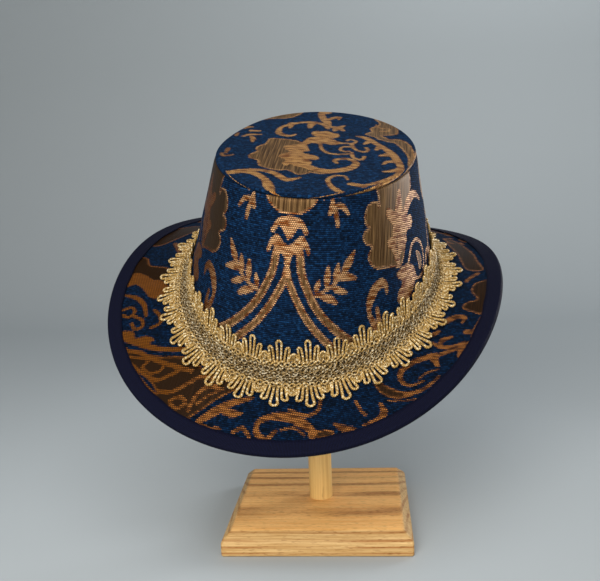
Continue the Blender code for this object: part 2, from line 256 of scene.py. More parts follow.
# woven figures, charted in millimetres: a stroke has a width at each point or one for all,
# a leaf is a closed outline; blue rows cut the ground back out of the rows above them
crownFigures = [  # u from the middle line of the pattern, v along the crown
    {"yarn": "bronze", "leaf": [(-3, 83), (0, 83), (6, 83.4), (11, 85.5), (15, 88.5), (17.5, 92), (18, 97),
     (14, 102), (6, 105), (0, 106), (-3, 106)]},
    {"yarn": "copper", "leaf": [(-3, 81.6), (4, 81.6), (8, 79.6), (11.5, 74), (11, 72.2), (9, 73),
     (7.6, 75.6), (5.6, 76), (3, 72.5), (0, 69), (-3, 72.5)]},
    {"yarn": "bronze", "path": [(7, 62), (8.5, 51), (11.5, 42.5), (15.5, 33.5), (21, 25), (28, 17),
     (36, 9.5), (45, 4), (54, 0)], "wide": [4.2]},
    {"yarn": "bronze", "path": [(0, 52), (1, 47), (3, 42), (7, 33.5), (11.5, 25.5), (16.5, 18), (22, 11.5),
     (27, 5.5), (33, -1)], "wide": [3.8]},
    {"yarn": "copper", "path": [(0, 59), (0, 54), (0, 49)], "wide": [4, 2.6, 3.4]},
    {"yarn": "copper", "leaf": [(-3, 68.6), (0, 65.8), (3.5, 68), (7, 71.3), (9.5, 70.3), (11.8, 66.5),
     (13.2, 61.6), (11.4, 61.4), (10, 65), (8.6, 63.8), (8.3, 60), (5.4, 60), (4.2, 61.3), (2.6, 60),
     (1, 57), (-1, 57), (-3, 60)]},
    {"yarn": "copper", "path": [(17, 38), (23, 41), (29, 45), (33, 50)], "wide": [1.6]},
    {"yarn": "copper", "path": [(32.5, 49), (36, 54), (40.5, 61)], "wide": [1.2, 4.8, 1.2]},
    {"yarn": "copper", "path": [(29, 47.5), (35, 47), (41, 45)], "wide": [2, 4.6, 1.4]},
    {"yarn": "copper", "path": [(28, 44), (29, 49), (30, 54.5)], "wide": [1.4, 4, 1.6]},
    {"yarn": "copper", "path": [(23, 41), (23.4, 47), (24, 53.5)], "wide": [1.2, 3.6, 1.8]},
    {"yarn": "copper", "path": [(26, 42), (30, 40), (34.5, 38)], "wide": [1.2, 3.8, 1.6]},
    {"yarn": "copper", "path": [(17, 40), (17.6, 43), (18.5, 46.5)], "wide": [1.4, 2.8, 1.4]},
    {"yarn": "copper", "path": [(19, 37.5), (24, 36), (28.5, 33)], "wide": [1.4, 4.4, 1.8]},
    {"yarn": "copper", "path": [(21.5, 92.2), (27, 93), (32, 92.6)], "wide": [2, 1.6, 2]},
    {"yarn": "copper", "path": [(27, 92), (26.6, 87), (25, 83.4)], "wide": [1.6, 3.6, 2.4]},
    {"yarn": "copper", "path": [(27, 87.4), (33, 86.8), (37.4, 82)], "wide": [2, 3, 1.8]},
    {"yarn": "copper", "path": [(28.4, 85), (29.6, 80), (30, 76)], "wide": [2.4, 2.8, 1.8]},
    {"yarn": "copper", "path": [(62.4, 30.5), (62, 35), (58.5, 38), (53.5, 35.5), (50, 30), (48.5, 24),
     (50, 18), (53, 12)], "wide": [1.2, 3.4, 5, 6, 5, 2.6, 3, 4.4]},
    {"yarn": "copper", "path": [(54, 24), (54.8, 18), (54, 11)], "wide": [2, 2.8, 4.4]},
    {"yarn": "bronze", "leaf": [(62, 99), (62, 82.5), (60.5, 84.5), (57, 85.5), (52, 84), (49, 79),
     (49.4, 74), (52, 71.6), (48.6, 70.4), (47, 67), (48.6, 63), (53, 60.6), (51, 58), (50, 54.5),
     (52, 50), (56, 47), (62, 45.8), (68, 44.5), (76, 42), (81, 47), (85, 56), (89, 66), (92, 76),
     (99, 79), (103, 86), (103, 94), (98, 101), (80, 104)]},
    {"yarn": "copper", "path": [(75, 43), (74, 50), (75, 58), (77, 66), (81, 74), (84, 84)],
     "wide": [2, 6, 9, 8.5, 9, 4]},
    {"yarn": "copper", "path": [(78, 68), (70, 76)], "wide": [8, 5.5]},
    {"yarn": "copper", "path": [(75, 54), (68.5, 59)], "wide": [9, 5]},
    {"yarn": "copper", "path": [(76, 54), (83, 56)], "wide": [10, 6]},
    {"yarn": "copper", "path": [(80, 64), (93, 64)], "wide": [8, 7.5]},
    {"yarn": "copper", "path": [(83, 67), (91, 73), (99, 77), (108, 76), (117, 70)],
     "wide": [4, 6, 6, 4, 2]},
    {"yarn": "blue", "path": [(74.4, 47), (74.6, 55), (76, 62)], "wide": [0.5]},
    {"yarn": "copper", "leaf": [(73, 39.5), (80, 41.5), (86, 40), (91, 36), (92.5, 30), (89, 25),
     (84, 21.5), (78, 18), (71, 22), (72, 27), (75.5, 30), (76.5, 33), (72.6, 36.5)]},
    {"yarn": "copper", "path": [(86, 42), (91, 49), (98, 50.5), (105, 47), (109, 40), (108, 32), (102, 27),
     (95, 27), (91, 30)], "wide": [2]},
    {"yarn": "bronze", "path": [(98, 42), (101, 37), (100, 32)], "wide": [3, 6, 3]},
    {"yarn": "copper", "path": [(114, 5), (122, 25), (136, 60)], "wide": [3, 5, 2]},
    {"yarn": "copper", "path": [(126, 32), (117, 34), (112, 28)], "wide": [3, 4, 2]},
    {"yarn": "bronze", "leaf": [(141, 61), (132, 65), (128, 74), (131, 83), (139, 90), (154, 97),
     (158, 84), (148, 66)]},
    {"yarn": "copper", "path": [(138, 64), (143, 74), (148, 85)], "wide": [1.6, 5, 1.6]},
]
tipFigures = [  # x and y in the hat's own plan
    {"yarn": "bronze", "leaf": [(-32, 8), (-24, 9), (-14, 8), (-9, 2), (-8, -10), (-6, -22), (-2, -30),
     (3, -36), (6, -42), (0, -48), (-8, -43), (-14, -45), (-25, -41), (-28, -36), (-30, -32), (-35, -30),
     (-37, -25), (-34, -18), (-36, -14), (-36, -9), (-33, -3), (-33, 3)]},
    {"yarn": "bronze", "path": [(3, -39), (12, -41), (20, -38)], "wide": [6, 4, 3]},
    {"yarn": "copper", "leaf": [(-10, 8), (-7, 2), (-4, -5), (-3, -8), (-6, -10), (-5, -13), (2, -15),
     (5.5, -19), (4, -22), (0, -23), (3, -27), (2, -34), (-4, -36), (-8, -33), (-11, -36), (-14, -32),
     (-13, -27), (-19, -22), (-17, -17), (-14, -13), (-17, -10), (-20, -5), (-18, -1), (-13, 2)]},
    {"yarn": "copper", "path": [(-2, -31), (2, -34), (8, -37), (15, -38), (23, -34), (28, -27), (29, -20),
     (25, -15.5), (19, -16), (15.5, -20), (18, -24)], "wide": [7, 6, 5.5, 5.5, 5.5, 5, 4, 3, 2.6, 2.6, 2]},
    {"yarn": "copper", "leaf": [(-10, 12), (-9, 16), (-5, 19), (0, 21), (5, 19), (11, 14.5), (15, 12),
     (10, 8), (7, 7), (3, 8), (0, 6), (-5, 7), (-7, 3), (-11, 4)]},
    {"yarn": "copper", "leaf": [(-9, 24), (-8, 29), (-4, 30), (0, 32), (4, 30), (8, 29), (9.5, 24),
     (6, 19.6), (2, 20.6), (-2, 20.6), (-6, 20.5)]},
    {"yarn": "copper", "path": [(1, 6), (4, -3), (9, -8), (16, -9), (24, -5)],
     "wide": [2, 2.2, 2.4, 2, 1.6]},
    {"yarn": "copper", "path": [(20, 6), (16, 5), (15, 0), (18, -3), (21, -2)], "wide": [2]},
    {"yarn": "copper", "path": [(13, 12), (20, 13), (22, 18), (18, 21), (16, 18)], "wide": [2]},
    {"yarn": "copper", "path": [(20, 12), (24, 3), (30, 0), (32, 4), (30, 8)], "wide": [2.2]},
    {"yarn": "copper", "path": [(23, -4), (26, -12), (31, -13), (32, -8)], "wide": [2.2]},
    {"yarn": "copper", "path": [(-19, 19), (-23, 15.5), (-30, 20), (-32, 30), (-29, 38), (-22, 45),
     (-14, 48), (-6, 46), (-1, 38)], "wide": [2, 3.5, 4.4, 3, 3, 3, 4, 4, 3]},
    {"yarn": "copper", "path": [(-27, 42), (-26, 33)], "wide": [5, 2]},
    {"yarn": "copper", "path": [(-14, 47), (-13, 36)], "wide": [6, 3]},
    {"yarn": "copper", "path": [(-12, 78), (-12, 68), (-9, 60), (-5, 53), (-1, 45)],
     "wide": [6, 5, 5, 6, 1.5]},
    {"yarn": "copper", "path": [(-12, 71), (-8, 74)], "wide": [5, 4]},
    {"yarn": "copper", "path": [(-6, 57), (-2, 63), (1, 65), (2, 61)], "wide": [3, 4, 4, 1.6]},
    {"yarn": "copper", "path": [(-1, 43), (5, 41), (10, 37)], "wide": [2, 6, 2]},
    {"yarn": "copper", "path": [(4, 34), (5, 41), (8.5, 49)], "wide": [1.6, 5, 1.6]},
    {"yarn": "bronze", "leaf": [(-50, 44), (-42, 49), (-33, 53), (-28, 60), (-26, 69), (-34, 66),
     (-40, 58), (-46, 51)]},
    {"yarn": "copper", "path": [(20, 29), (26, 27), (33, 20), (40, 12), (47, 3), (52, -8), (56, -20),
     (56, -30), (51, -40), (45, -48), (38, -55)], "wide": [1.5, 4, 4.4, 4.4, 5.4, 5, 4, 4, 3, 3, 2]},
    {"yarn": "copper", "path": [(31, 22), (28, 15)], "wide": [5, 2.4]},
    {"yarn": "copper", "path": [(39, 13), (37, 6)], "wide": [5.4, 2.4]},
    {"yarn": "copper", "path": [(48, 1), (44, -1), (41, -4)], "wide": [5, 4, 2]},
    {"yarn": "copper", "path": [(53, -9), (47, -12), (45, -17)], "wide": [4, 3, 1.6]},
    {"yarn": "copper", "path": [(56, -22), (52, -26), (47, -29)], "wide": [5, 4, 1.6]},
    {"yarn": "bronze", "leaf": [(26, 69), (30, 61), (30, 55), (26, 48), (28, 42), (25, 34), (30, 31),
     (36, 28), (42, 24), (41, 30), (36, 35), (40, 37), (45, 41), (45, 48), (43, 55), (37, 62)]},
    {"yarn": "bronze", "path": [(36, 29), (43, 27), (48, 27), (53, 20), (57, 10), (60, -1), (60.5, -14)],
     "wide": [5, 6, 8, 8, 6, 4, 2]},
    {"yarn": "copper", "path": [(29, 56), (33, 50), (38, 51), (39, 46), (34, 44)], "wide": [1.2]},
    {"yarn": "copper", "path": [(-58, 21), (-55, 25), (-51, 28)], "wide": [3, 4, 2]},
    {"yarn": "copper", "path": [(-49, 20), (-44, 21)], "wide": [3.4, 2.4]},
    {"yarn": "copper", "path": [(-56, 8), (-56, 13)], "wide": [2.4, 1.6]},
    {"yarn": "copper", "path": [(-51, 8), (-48, 12), (-41, 14)], "wide": [2, 3.2, 2]},
    {"yarn": "copper", "path": [(-46, 9), (-43, 4), (-42, -2)], "wide": [1.6, 3.4, 1.4]},
    {"yarn": "copper", "path": [(-54, -26), (-52, -30), (-47, -27)], "wide": [2, 2.6, 1.8]},
    {"yarn": "copper", "path": [(-53, -17), (-52, -25)], "wide": [3, 1.6]},
    {"yarn": "copper", "path": [(-41, -55), (-33, -50), (-24, -47), (-15, -49), (-9, -54), (-4, -57),
     (2, -52)], "wide": [2, 3.4, 3.4, 4, 4.4, 4, 1.6]},
    {"yarn": "copper", "path": [(-40, -57), (-33, -52), (-25, -53), (-17, -60), (-12, -69), (-8, -77)],
     "wide": [3, 5, 5, 4.4, 6, 3]},
    {"yarn": "copper", "path": [(29, -47), (26, -43), (21, -44), (18, -50), (21, -58), (26, -64),
     (30, -67)], "wide": [1.4, 1.6, 2, 2.4, 3, 4, 3]},
    {"yarn": "copper", "path": [(32, -53), (39, -54)], "wide": [4, 4.6]},
]
brimFigures = [  # x and y in the hat's own plan
    {"yarn": "bronze", "leaf": [(-127, -10), (-118, -9), (-112, -17), (-100, -19), (-93, -26), (-92, -36),
     (-108, -34), (-118, -30), (-127, -26)]},
    {"yarn": "copper", "leaf": [(-124, -32), (-118, -27), (-110, -29), (-104, -33), (-97, -34), (-90, -40),
     (-86, -47), (-94, -52), (-100, -50), (-106, -44), (-114, -39), (-120, -43), (-124, -40)]},
    {"yarn": "copper", "path": [(-119, -50), (-108, -52), (-100, -58), (-95, -67)],
     "wide": [1.6, 3, 3, 1.6]},
    {"yarn": "copper", "path": [(-113, -64), (-108, -61), (-104, -64), (-106, -69), (-111, -68)],
     "wide": [2]},
    {"yarn": "copper", "path": [(-103, -68), (-97, -70), (-94, -75), (-98, -78), (-102, -74)],
     "wide": [2]},
    {"yarn": "copper", "path": [(-91, -62), (-86, -66), (-83, -72), (-88, -76)], "wide": [2]},
    {"yarn": "copper", "leaf": [(-106, -81), (-98, -80.5), (-95, -85), (-88, -82.5), (-82, -85),
     (-84, -88), (-74, -90), (-58, -90), (-58, -92.5), (-78, -93), (-94, -90), (-103, -87)]},
    {"yarn": "bronze", "leaf": [(-101, -93), (-90, -94.5), (-75, -96.5), (-60, -96), (-50, -99),
     (-40, -105), (-25, -109), (-16, -111), (-26, -118), (-33, -124), (-40, -132), (-50, -136),
     (-62, -128), (-72, -120), (-84, -111), (-94, -103)]},
    {"yarn": "copper", "path": [(-98, -95.5), (-88, -95), (-80, -98), (-68, -101), (-50, -105)],
     "wide": [2.6]},
    {"yarn": "copper", "path": [(-97, -99), (-88, -99), (-78, -99), (-70, -101), (-70, -106), (-76, -108),
     (-82, -105), (-80, -101)], "wide": [1.6]},
    {"yarn": "copper", "path": [(-90, -104), (-80, -109), (-70, -112), (-64, -109), (-58, -105)],
     "wide": [2.2]},
    {"yarn": "copper", "path": [(-70, -119), (-58, -118.5), (-50, -113), (-42, -108), (-30, -110)],
     "wide": [2.2]},
    {"yarn": "copper", "path": [(-57, -124), (-52, -121), (-47, -124), (-51, -128), (-56, -126)],
     "wide": [2]},
    {"yarn": "copper", "path": [(-44, -128), (-42, -119), (-36, -113), (-30, -114)], "wide": [2.4]},
    {"yarn": "copper", "path": [(-40, -124), (-34, -118), (-27, -114)], "wide": [1.6]},
    {"yarn": "blue", "path": [(-82, -110), (-75, -114), (-67, -120)], "wide": [1.4, 2.6, 1]},
    {"yarn": "blue", "path": [(-40, -133), (-34, -127), (-26, -120), (-20, -116)],
     "wide": [2.4, 2.4, 2, 1]},
    {"yarn": "copper", "path": [(-36, -134), (-29, -128), (-21, -122), (-8, -117)],
     "wide": [3, 5, 4, 1.4]},
    {"yarn": "copper", "path": [(-36, -134.5), (-30, -137), (-22, -136)], "wide": [3, 3, 1.4]},
    {"yarn": "copper", "path": [(-25, -125), (-18, -127), (-12, -126)], "wide": [3, 4, 1.4]},
    {"yarn": "copper", "path": [(-14, -137), (-9, -134), (-4, -138)], "wide": [2]},
    {"yarn": "copper", "path": [(10, -133), (6, -138), (0, -136), (-1, -130), (5, -126), (15, -124.5),
     (25, -127), (32, -131)], "wide": [2, 2.4, 3, 3, 3.4, 5, 5, 3.4]},
    {"yarn": "copper", "path": [(13, -132), (20, -130), (27, -133)], "wide": [1.2]},
    {"yarn": "bronze", "path": [(31, -131.5), (41, -130)], "wide": [5, 4]},
    {"yarn": "copper", "path": [(31, -111), (31, -118), (25, -122), (15, -121)], "wide": [1.8]},
    {"yarn": "copper", "path": [(42, -124), (48, -126), (54, -125)], "wide": [1.2, 4, 1.2]},
    {"yarn": "copper", "path": [(58, -122.5), (65, -118), (68, -113), (65, -108)],
     "wide": [1.2, 2.6, 4, 1.6]},
    {"yarn": "copper", "path": [(51, -109), (55, -114), (58, -116)], "wide": [1.4]},
    {"yarn": "bronze", "path": [(60, -95), (66, -99), (74, -100.5), (81, -99)], "wide": [3, 6, 5, 3]},
    {"yarn": "copper", "path": [(78, -99.5), (86, -96), (91, -91), (95, -85)], "wide": [2.6, 2, 1.8, 1.4]},
    {"yarn": "copper", "path": [(69, -105), (78, -104), (84, -102)], "wide": [0.8]},
    {"yarn": "copper", "path": [(76, -81), (73, -85), (74, -91), (80, -93.5), (87, -89)],
     "wide": [2.4, 3, 2.4, 1.6, 1]},
    {"yarn": "copper", "path": [(84, -88), (88, -83), (94, -80)], "wide": [1]},
    {"yarn": "copper", "path": [(75, -82), (80, -76), (88, -71), (95, -68), (104, -63), (110, -58)],
     "wide": [2, 3.4, 3.6, 2.6, 2, 1.2]},
    {"yarn": "copper", "path": [(90, -71), (93, -77)], "wide": [5.4, 2.6]},
    {"yarn": "copper", "path": [(106, -61), (105, -70)], "wide": [4.4, 2.4]},
    {"yarn": "copper", "path": [(88, -60), (94, -63), (102, -61.5), (107, -58)],
     "wide": [1.6, 2.6, 2.4, 1.2]},
    {"yarn": "copper", "path": [(93, -61), (94, -57), (99, -54)], "wide": [2, 3, 1.6]},
    {"yarn": "copper", "path": [(86, -55), (91, -50)], "wide": [3, 2]},
    {"yarn": "copper", "path": [(91, -44), (96, -39), (101, -35.5), (105, -36.5), (104, -41)],
     "wide": [2, 4, 4, 3, 1.4]},
    {"yarn": "copper", "path": [(107, -49.5), (112, -50)], "wide": [3.4, 4.4]},
    {"yarn": "copper", "path": [(111, -55), (113, -47), (115, -37)], "wide": [1.4, 3.4, 1.4]},
    {"yarn": "bronze", "leaf": [(109, 0), (118, 2), (118, -12), (116, -33), (109, -31), (103, -27),
     (105, -21), (111, -18), (107, -9)]},
    {"yarn": "bronze", "leaf": [(113, 16), (109, 30), (106, 42), (100, 55), (92, 69), (84, 72), (87, 58),
     (93, 45), (97, 32), (102, 18)]},
    {"yarn": "copper", "path": [(103, 3), (106, 8), (110, 12)], "wide": [2.6]},
    {"yarn": "bronze", "leaf": [(-126, 10), (-117, 9), (-109, 20), (-102, 32), (-94, 46), (-104, 50),
     (-116, 42), (-124, 28)]},
    {"yarn": "copper", "path": [(-106, 14), (-98, 2), (-88, -14)], "wide": [3, 3.4, 1.6]},
]
figureReach = 6.0          # mm past a figure's edge that its depth is worked out
weave = {
    "rib": 1.15,           # mm from one weft rib to the next
    "dash": 8.0,           # mm, how long the chenille keeps one shade
    "streak": 0.75,        # mm across the bronze satin's streaks
    "streakRun": 26.0,     # mm along them
    "outline": 0.95,       # mm of copper round a bronze figure
    "tooth": 1.3,          # mm that each rib's end stands in or out
    "knot": 1.25,          # mm between the ties that hold the copper down, half a step over on the next rib
    # painted shade on the hat's left: mm along the cloth where it sets in and where it is full, for each
    # yarn; then where it has faded out and where it is still full, on its way behind
    "paintedShadeRamps": {"bronze": (-42.0, -49.0), "copper": (-45.0, -60.0)},  # mm along, on the hat's left
    "paintedShadeFadeOut": (-150.0, -115.0),                                     # and back again, on its way behind
}


def smoothPath(points, closed, steps=5):
    # a curve through the charted points, with any width that comes with them
    knots = np.array(points, float)
    count = len(knots)
    if closed:
        order = [knots[[(i + k) % count for k in (-1, 0, 1, 2)]] for i in range(count)]
    else:
        order = [knots[[min(max(i + k, 0), count - 1) for k in (-1, 0, 1, 2)]] for i in range(count - 1)]
    line = []
    for before, start, end, after in order:
        for t in np.arange(steps) / steps:
            line.append(0.5 * (2 * start + (end - before) * t
                               + (2 * before - 5 * start + 4 * end - after) * t ** 2
                               + (3 * start - before - 3 * end + after) * t ** 3))
    if not closed:
        line.append(knots[-1])
    return np.array(line)


def segmentDistance(x, y, start, end):
    run = end[:2] - start[:2]
    share = ((x - start[0]) * run[0] + (y - start[1]) * run[1]) / max(float(run @ run), 1e-9)
    share = np.clip(share, 0, 1)
    return np.hypot(x - start[0] - run[0] * share, y - start[1] - run[1] * share), share


def figureDepth(x, y, row):
    # how far each point lies inside the figure, in millimetres, below nought outside it
    if "leaf" in row:
        line = smoothPath(row["leaf"], True)
        away = np.full(x.shape, 99.0)
        inside = np.zeros(x.shape, bool)
        for start, end in zip(line, np.roll(line, -1, 0)):
            away = np.minimum(away, segmentDistance(x, y, start, end)[0])
            if start[1] != end[1]:
                crosses = (start[1] > y) != (end[1] > y)
                meets = start[0] + (y - start[1]) / (end[1] - start[1]) * (end[0] - start[0])
                inside ^= crosses & (x < meets)
        return np.where(inside, away, -away)
    widths = row["wide"] if len(row["wide"]) > 1 else row["wide"] * len(row["path"])
    line = smoothPath([(*point, wide) for point, wide in zip(row["path"], widths)], False)
    depth = np.full(x.shape, -99.0)
    for start, end in zip(line, line[1:]):
        away, share = segmentDistance(x, y, start, end)
        depth = np.maximum(depth, (start[2] + (end[2] - start[2]) * share) / 2 - away)
    return depth


def chartDepths(x, y, figures):
    reach = figureReach
    depths = {yarn: np.full(x.shape, -reach) for yarn in ("copper", "bronze")}
    for row in figures:
        marks = np.array(row.get("leaf") or row["path"], float)
        low, high = marks.min(0) - reach - 4, marks.max(0) + reach + 4
        near = (x > low[0]) & (x < high[0]) & (y > low[1]) & (y < high[1])
        if not near.any():
            continue
        depth = np.maximum(figureDepth(x[near], y[near], row), -reach)
        for yarn, kept in depths.items():
            if row["yarn"] == yarn:
                kept[near] = np.maximum(kept[near], depth)
            elif row["yarn"] == "blue":
                kept[near] = np.minimum(kept[near], -depth)
    return depths


def readPoints(mesh):
    flat = np.zeros(len(mesh.vertices) * 3, np.float32)
    mesh.vertices.foreach_get("co", flat)
    return flat.reshape(-1, 3).astype(float)


def placePoints(mesh, points):
    mesh.vertices.foreach_set("co", np.ascontiguousarray(points, np.float32).ravel())


def runLengths(line):
    # the way along a line of points, from its first one
    return np.concatenate(([0.0], np.cumsum(np.linalg.norm(np.diff(line, axis=0), axis=1))))


def takeMesh(name, shape):
    mesh = bpy.data.meshes.new(name)
    shape.to_mesh(mesh)
    shape.free()
    mesh.shade_smooth()
    return mesh


def setCloth(mesh, points, cloth, depths):
    # places the mesh's points, and gives it the cloth's own coordinates in millimetres and the figures
    placePoints(mesh, points)
    corners = np.zeros(len(mesh.loops), np.int32)
    mesh.loops.foreach_get("vertex_index", corners)
    layer = mesh.uv_layers.new(name="cloth")
    layer.uv.foreach_set("vector", np.ascontiguousarray(cloth[corners], np.float32).ravel())
    for name, values in depths.items():
        attribute = mesh.attributes.new(name, "FLOAT", "POINT")
        attribute.data.foreach_set("value", np.ascontiguousarray(values, np.float32))


def gridMesh(name, columns, rows):
    # a flat grid, and each point's column and row in it
    shape = bmesh.new()
    bmesh.ops.create_grid(shape, x_segments=columns, y_segments=rows, size=1.0)
    mesh = takeMesh(name, shape)
    flat = readPoints(mesh)
    column = np.rint((flat[:, 0] - flat[:, 0].min()) / np.ptp(flat[:, 0]) * columns)
    row = np.rint((flat[:, 1] - flat[:, 1].min()) / np.ptp(flat[:, 1]) * rows)
    return mesh, column.astype(int), row.astype(int)


def closeMesh(mesh, joined=True):
    # joins the grid's meeting edges and turns the faces outwards
    shape = bmesh.new()
    shape.from_mesh(mesh)
    if joined:
        bmesh.ops.remove_doubles(shape, verts=shape.verts[:], dist=1e-6)
    bmesh.ops.recalc_face_normals(shape, faces=shape.faces[:])
    shape.to_mesh(mesh)
    shape.free()
    mesh.shade_smooth()
    return mesh


def unevenness(points, size, height, seed):
    # a slow rise and fall of cloth over its stiffening
    return np.array([noise.noise(Vector(point) / size + Vector((seed, 0, 0))) for point in points]) * height


# Jacquard brocade: a blue chenille ground in weft ribs, bronze warp satin, and copper weft floats.
# The ribs catch the light one by one, and every figure's edge is stepped by them.
brocadeColours = {
    "blueDeep": "#05101f",
    "blueMid": "#0a2443",
    "blueLight": "#1c4c7e",
    # painted shade for the grooves between the ribs
    "groove": "#010409",
    # painted shade for the bronze on the hat's left
    "bronzePaintedShade": "#2c2116",
    "bronzeDark": "#382513",
    "bronze": "#60482c",
    "bronzeLight": "#8c6c46",
    "copperRust": "#84481c",
    "copper": "#d8a674",
    # painted shade for the copper's rib grooves and ties
    "copperGroove": "#1e0e04",
    # painted shade for the copper on the hat's left
    "copperPaintedShade": "#603614",
}
# painted sheen: the tip's copy of the cloth has a brighter, yellower copper for the shine its floats show
# when seen from low down
tipSheenColours = {              # seen from low down, the tip's floats shine yellower
    "copperRust": "#8c5620",
    "copper": "#d8a25c",
}
# painted shade: the brim's copy of the cloth is coloured darker all over, as its pile and satin lie away from
# the light
brimShadedColours = {             # on the brim the pile and the satin lie away from the light
    "blueDeep": "#020812",
    "blueMid": "#04162e",
    "blueLight": "#0e345c",
    # painted shade for the brim's bronze on the hat's left
    "bronzePaintedShade": "#1f1104",
    "bronzeDark": "#190e05",
    "bronze": "#241508",
    "bronzeLight": "#301e0c",
    "copperRust": "#4f2a0d",
    "copper": "#98602c",
    # painted shade for the brim copper's rib grooves and ties
    "copperGroove": "#100802",
    # painted shade for the brim's copper on the hat's left
    "copperPaintedShade": "#744208",
}


def brocadeMaterial(name, colours, gilt):
    material, tree, shader = newMaterial(name, {
        "Specular IOR Level": 0.06, "Sheen Weight": 0.05, "Sheen Roughness": 0.3,
        "Sheen Tint": linear("#4f86c4")})
    tone = {key: linear(value) for key, value in colours.items()}
    cloth = addNode(tree, "SeparateXYZ", {}, {0: addNode(tree, "UVMap", {"uv_map": "cloth"})})
    along, across = cloth.outputs[0], cloth.outputs[1]
    ribs = addNode(tree, "Math", {"operation": "DIVIDE"}, {0: across, 1: weave["rib"]})
    ribNumber = addNode(tree, "Math", {"operation": "FLOOR"}, {0: ribs})
    ribShare = addNode(tree, "Math", {"operation": "FRACT"}, {0: ribs})
    half = addNode(tree, "Math", times, {0: ribShare, 1: pi})
    crest = addNode(tree, "Math", {"operation": "SINE"}, {0: half})
    groove = addNode(tree, "Math", {"operation": "SUBTRACT", "use_clamp": True}, {0: 1.0, 1: crest})
    groove = addNode(tree, "Math", {"operation": "POWER"}, {0: groove, 1: 1.1})

    shades = {}
    for name, run, shift in (("dash", weave["dash"], 3.7), ("fleck", 2.4, 5.3), ("wear", 7.0, 0.6)):
        runShare = addNode(tree, "Math", {"operation": "DIVIDE"}, {0: along, 1: run})
        ribShift = addNode(tree, "Math", times, {0: ribNumber, 1: shift})
        place = addNode(tree, "CombineXYZ", {}, {0: runShare, 1: ribShift})
        shades[name] = addNode(tree, "TexNoise", flatNoise,
                               {"Vector": place, "Scale": 1.0, "Detail": 1.0})
    place = addNode(tree, "CombineXYZ", {}, {
        0: addNode(tree, "Math", {"operation": "DIVIDE"}, {0: along, 1: weave["streak"]}),
        1: addNode(tree, "Math", {"operation": "DIVIDE"}, {0: across, 1: weave["streakRun"]})})
    streak = addNode(tree, "TexNoise", flatNoise, {"Vector": place, "Scale": 1.0, "Detail": 2.0})

    # blue chenille
    fuzz = addNode(tree, "TexNoise", flatNoise, {
        "Vector": addNode(tree, "CombineXYZ", {}, {0: along, 1: across}), "Scale": 1.7, "Detail": 1.0})
    # the blue's last mix is painted shade in the grooves between the ribs
    ground = tone["blueDeep"]
    for share, over in (
            (addNode(tree, "MapRange", {}, {0: shades["dash"], 1: 0.25, 2: 0.7}), "blueMid"),
            (addNode(tree, "MapRange", {}, {0: shades["fleck"], 1: 0.46, 2: 0.8, 4: 0.55}), "blueLight"),
            (addNode(tree, "MapRange", {}, {0: fuzz, 1: 0.5, 2: 0.3, 4: 0.7}), "blueDeep"),
            (addNode(tree, "Math", times, {0: groove, 1: 0.8}), "groove")):
        ground = addNode(tree, "Mix", blend, {0: share, 6: ground, 7: tone[over]})

    # bronze satin; like the copper it is painted darker on the hat's left, as painted shade where the hat
    # slopes away from the light
    start, end = weave["paintedShadeFadeOut"]
    ahead = addNode(tree, "MapRange", {}, {0: along, 1: start, 2: end})
    paintedShadeShares = {}
    for yarn, (start, end) in weave["paintedShadeRamps"].items():
        slope = addNode(tree, "MapRange", {}, {0: along, 1: start, 2: end})
        paintedShadeShares[yarn] = addNode(tree, "Math", times, {0: slope, 1: ahead})
    satin = tone["bronzeDark"]
    for share, over in (
            (addNode(tree, "MapRange", {}, {0: streak, 1: 0.3, 2: 0.56}), "bronze"),
            (addNode(tree, "MapRange", {}, {0: streak, 1: 0.54, 2: 0.72, 4: 0.6}), "bronzeLight"),
            (addNode(tree, "Math", times, {0: paintedShadeShares["bronze"], 1: 0.95}), "bronzePaintedShade")):
        satin = addNode(tree, "Mix", blend, {0: share, 6: satin, 7: tone[over]})

    # copper floats, tied down by knots half a step over from rib to rib
    knotAt = addNode(tree, "Math", {"operation": "DIVIDE"}, {0: along, 1: weave["knot"]})
    knotAt = addNode(tree, "Math", timesPlus, {0: ribNumber, 1: 0.5, 2: knotAt})
    knot = addNode(tree, "Math", times, {0: knotAt, 1: 2 * pi})
    knot = addNode(tree, "Math", {"operation": "SINE"}, {0: knot})
    tied = addNode(tree, "MapRange", {}, {0: knot, 1: -0.4, 2: 1.0, 4: 0.85})
    # painted shade: the copper is painted dark in the grooves between ribs and where the floats dip at their
    # ties
    sunk = addNode(tree, "Math", times, {0: groove, 1: 0.85})
    floats = tone["copperRust"]
    for share, over in (
            (addNode(tree, "MapRange", {}, {0: shades["wear"], 1: 0.34, 2: 0.58}), "copper"),
            (addNode(tree, "Math", times, {0: paintedShadeShares["copper"], 1: 0.9}), "copperPaintedShade"),
            (addNode(tree, "Math", {"operation": "MAXIMUM"}, {0: sunk, 1: tied}), "copperGroove")):
        floats = addNode(tree, "Mix", blend, {0: share, 6: floats, 7: tone[over]})

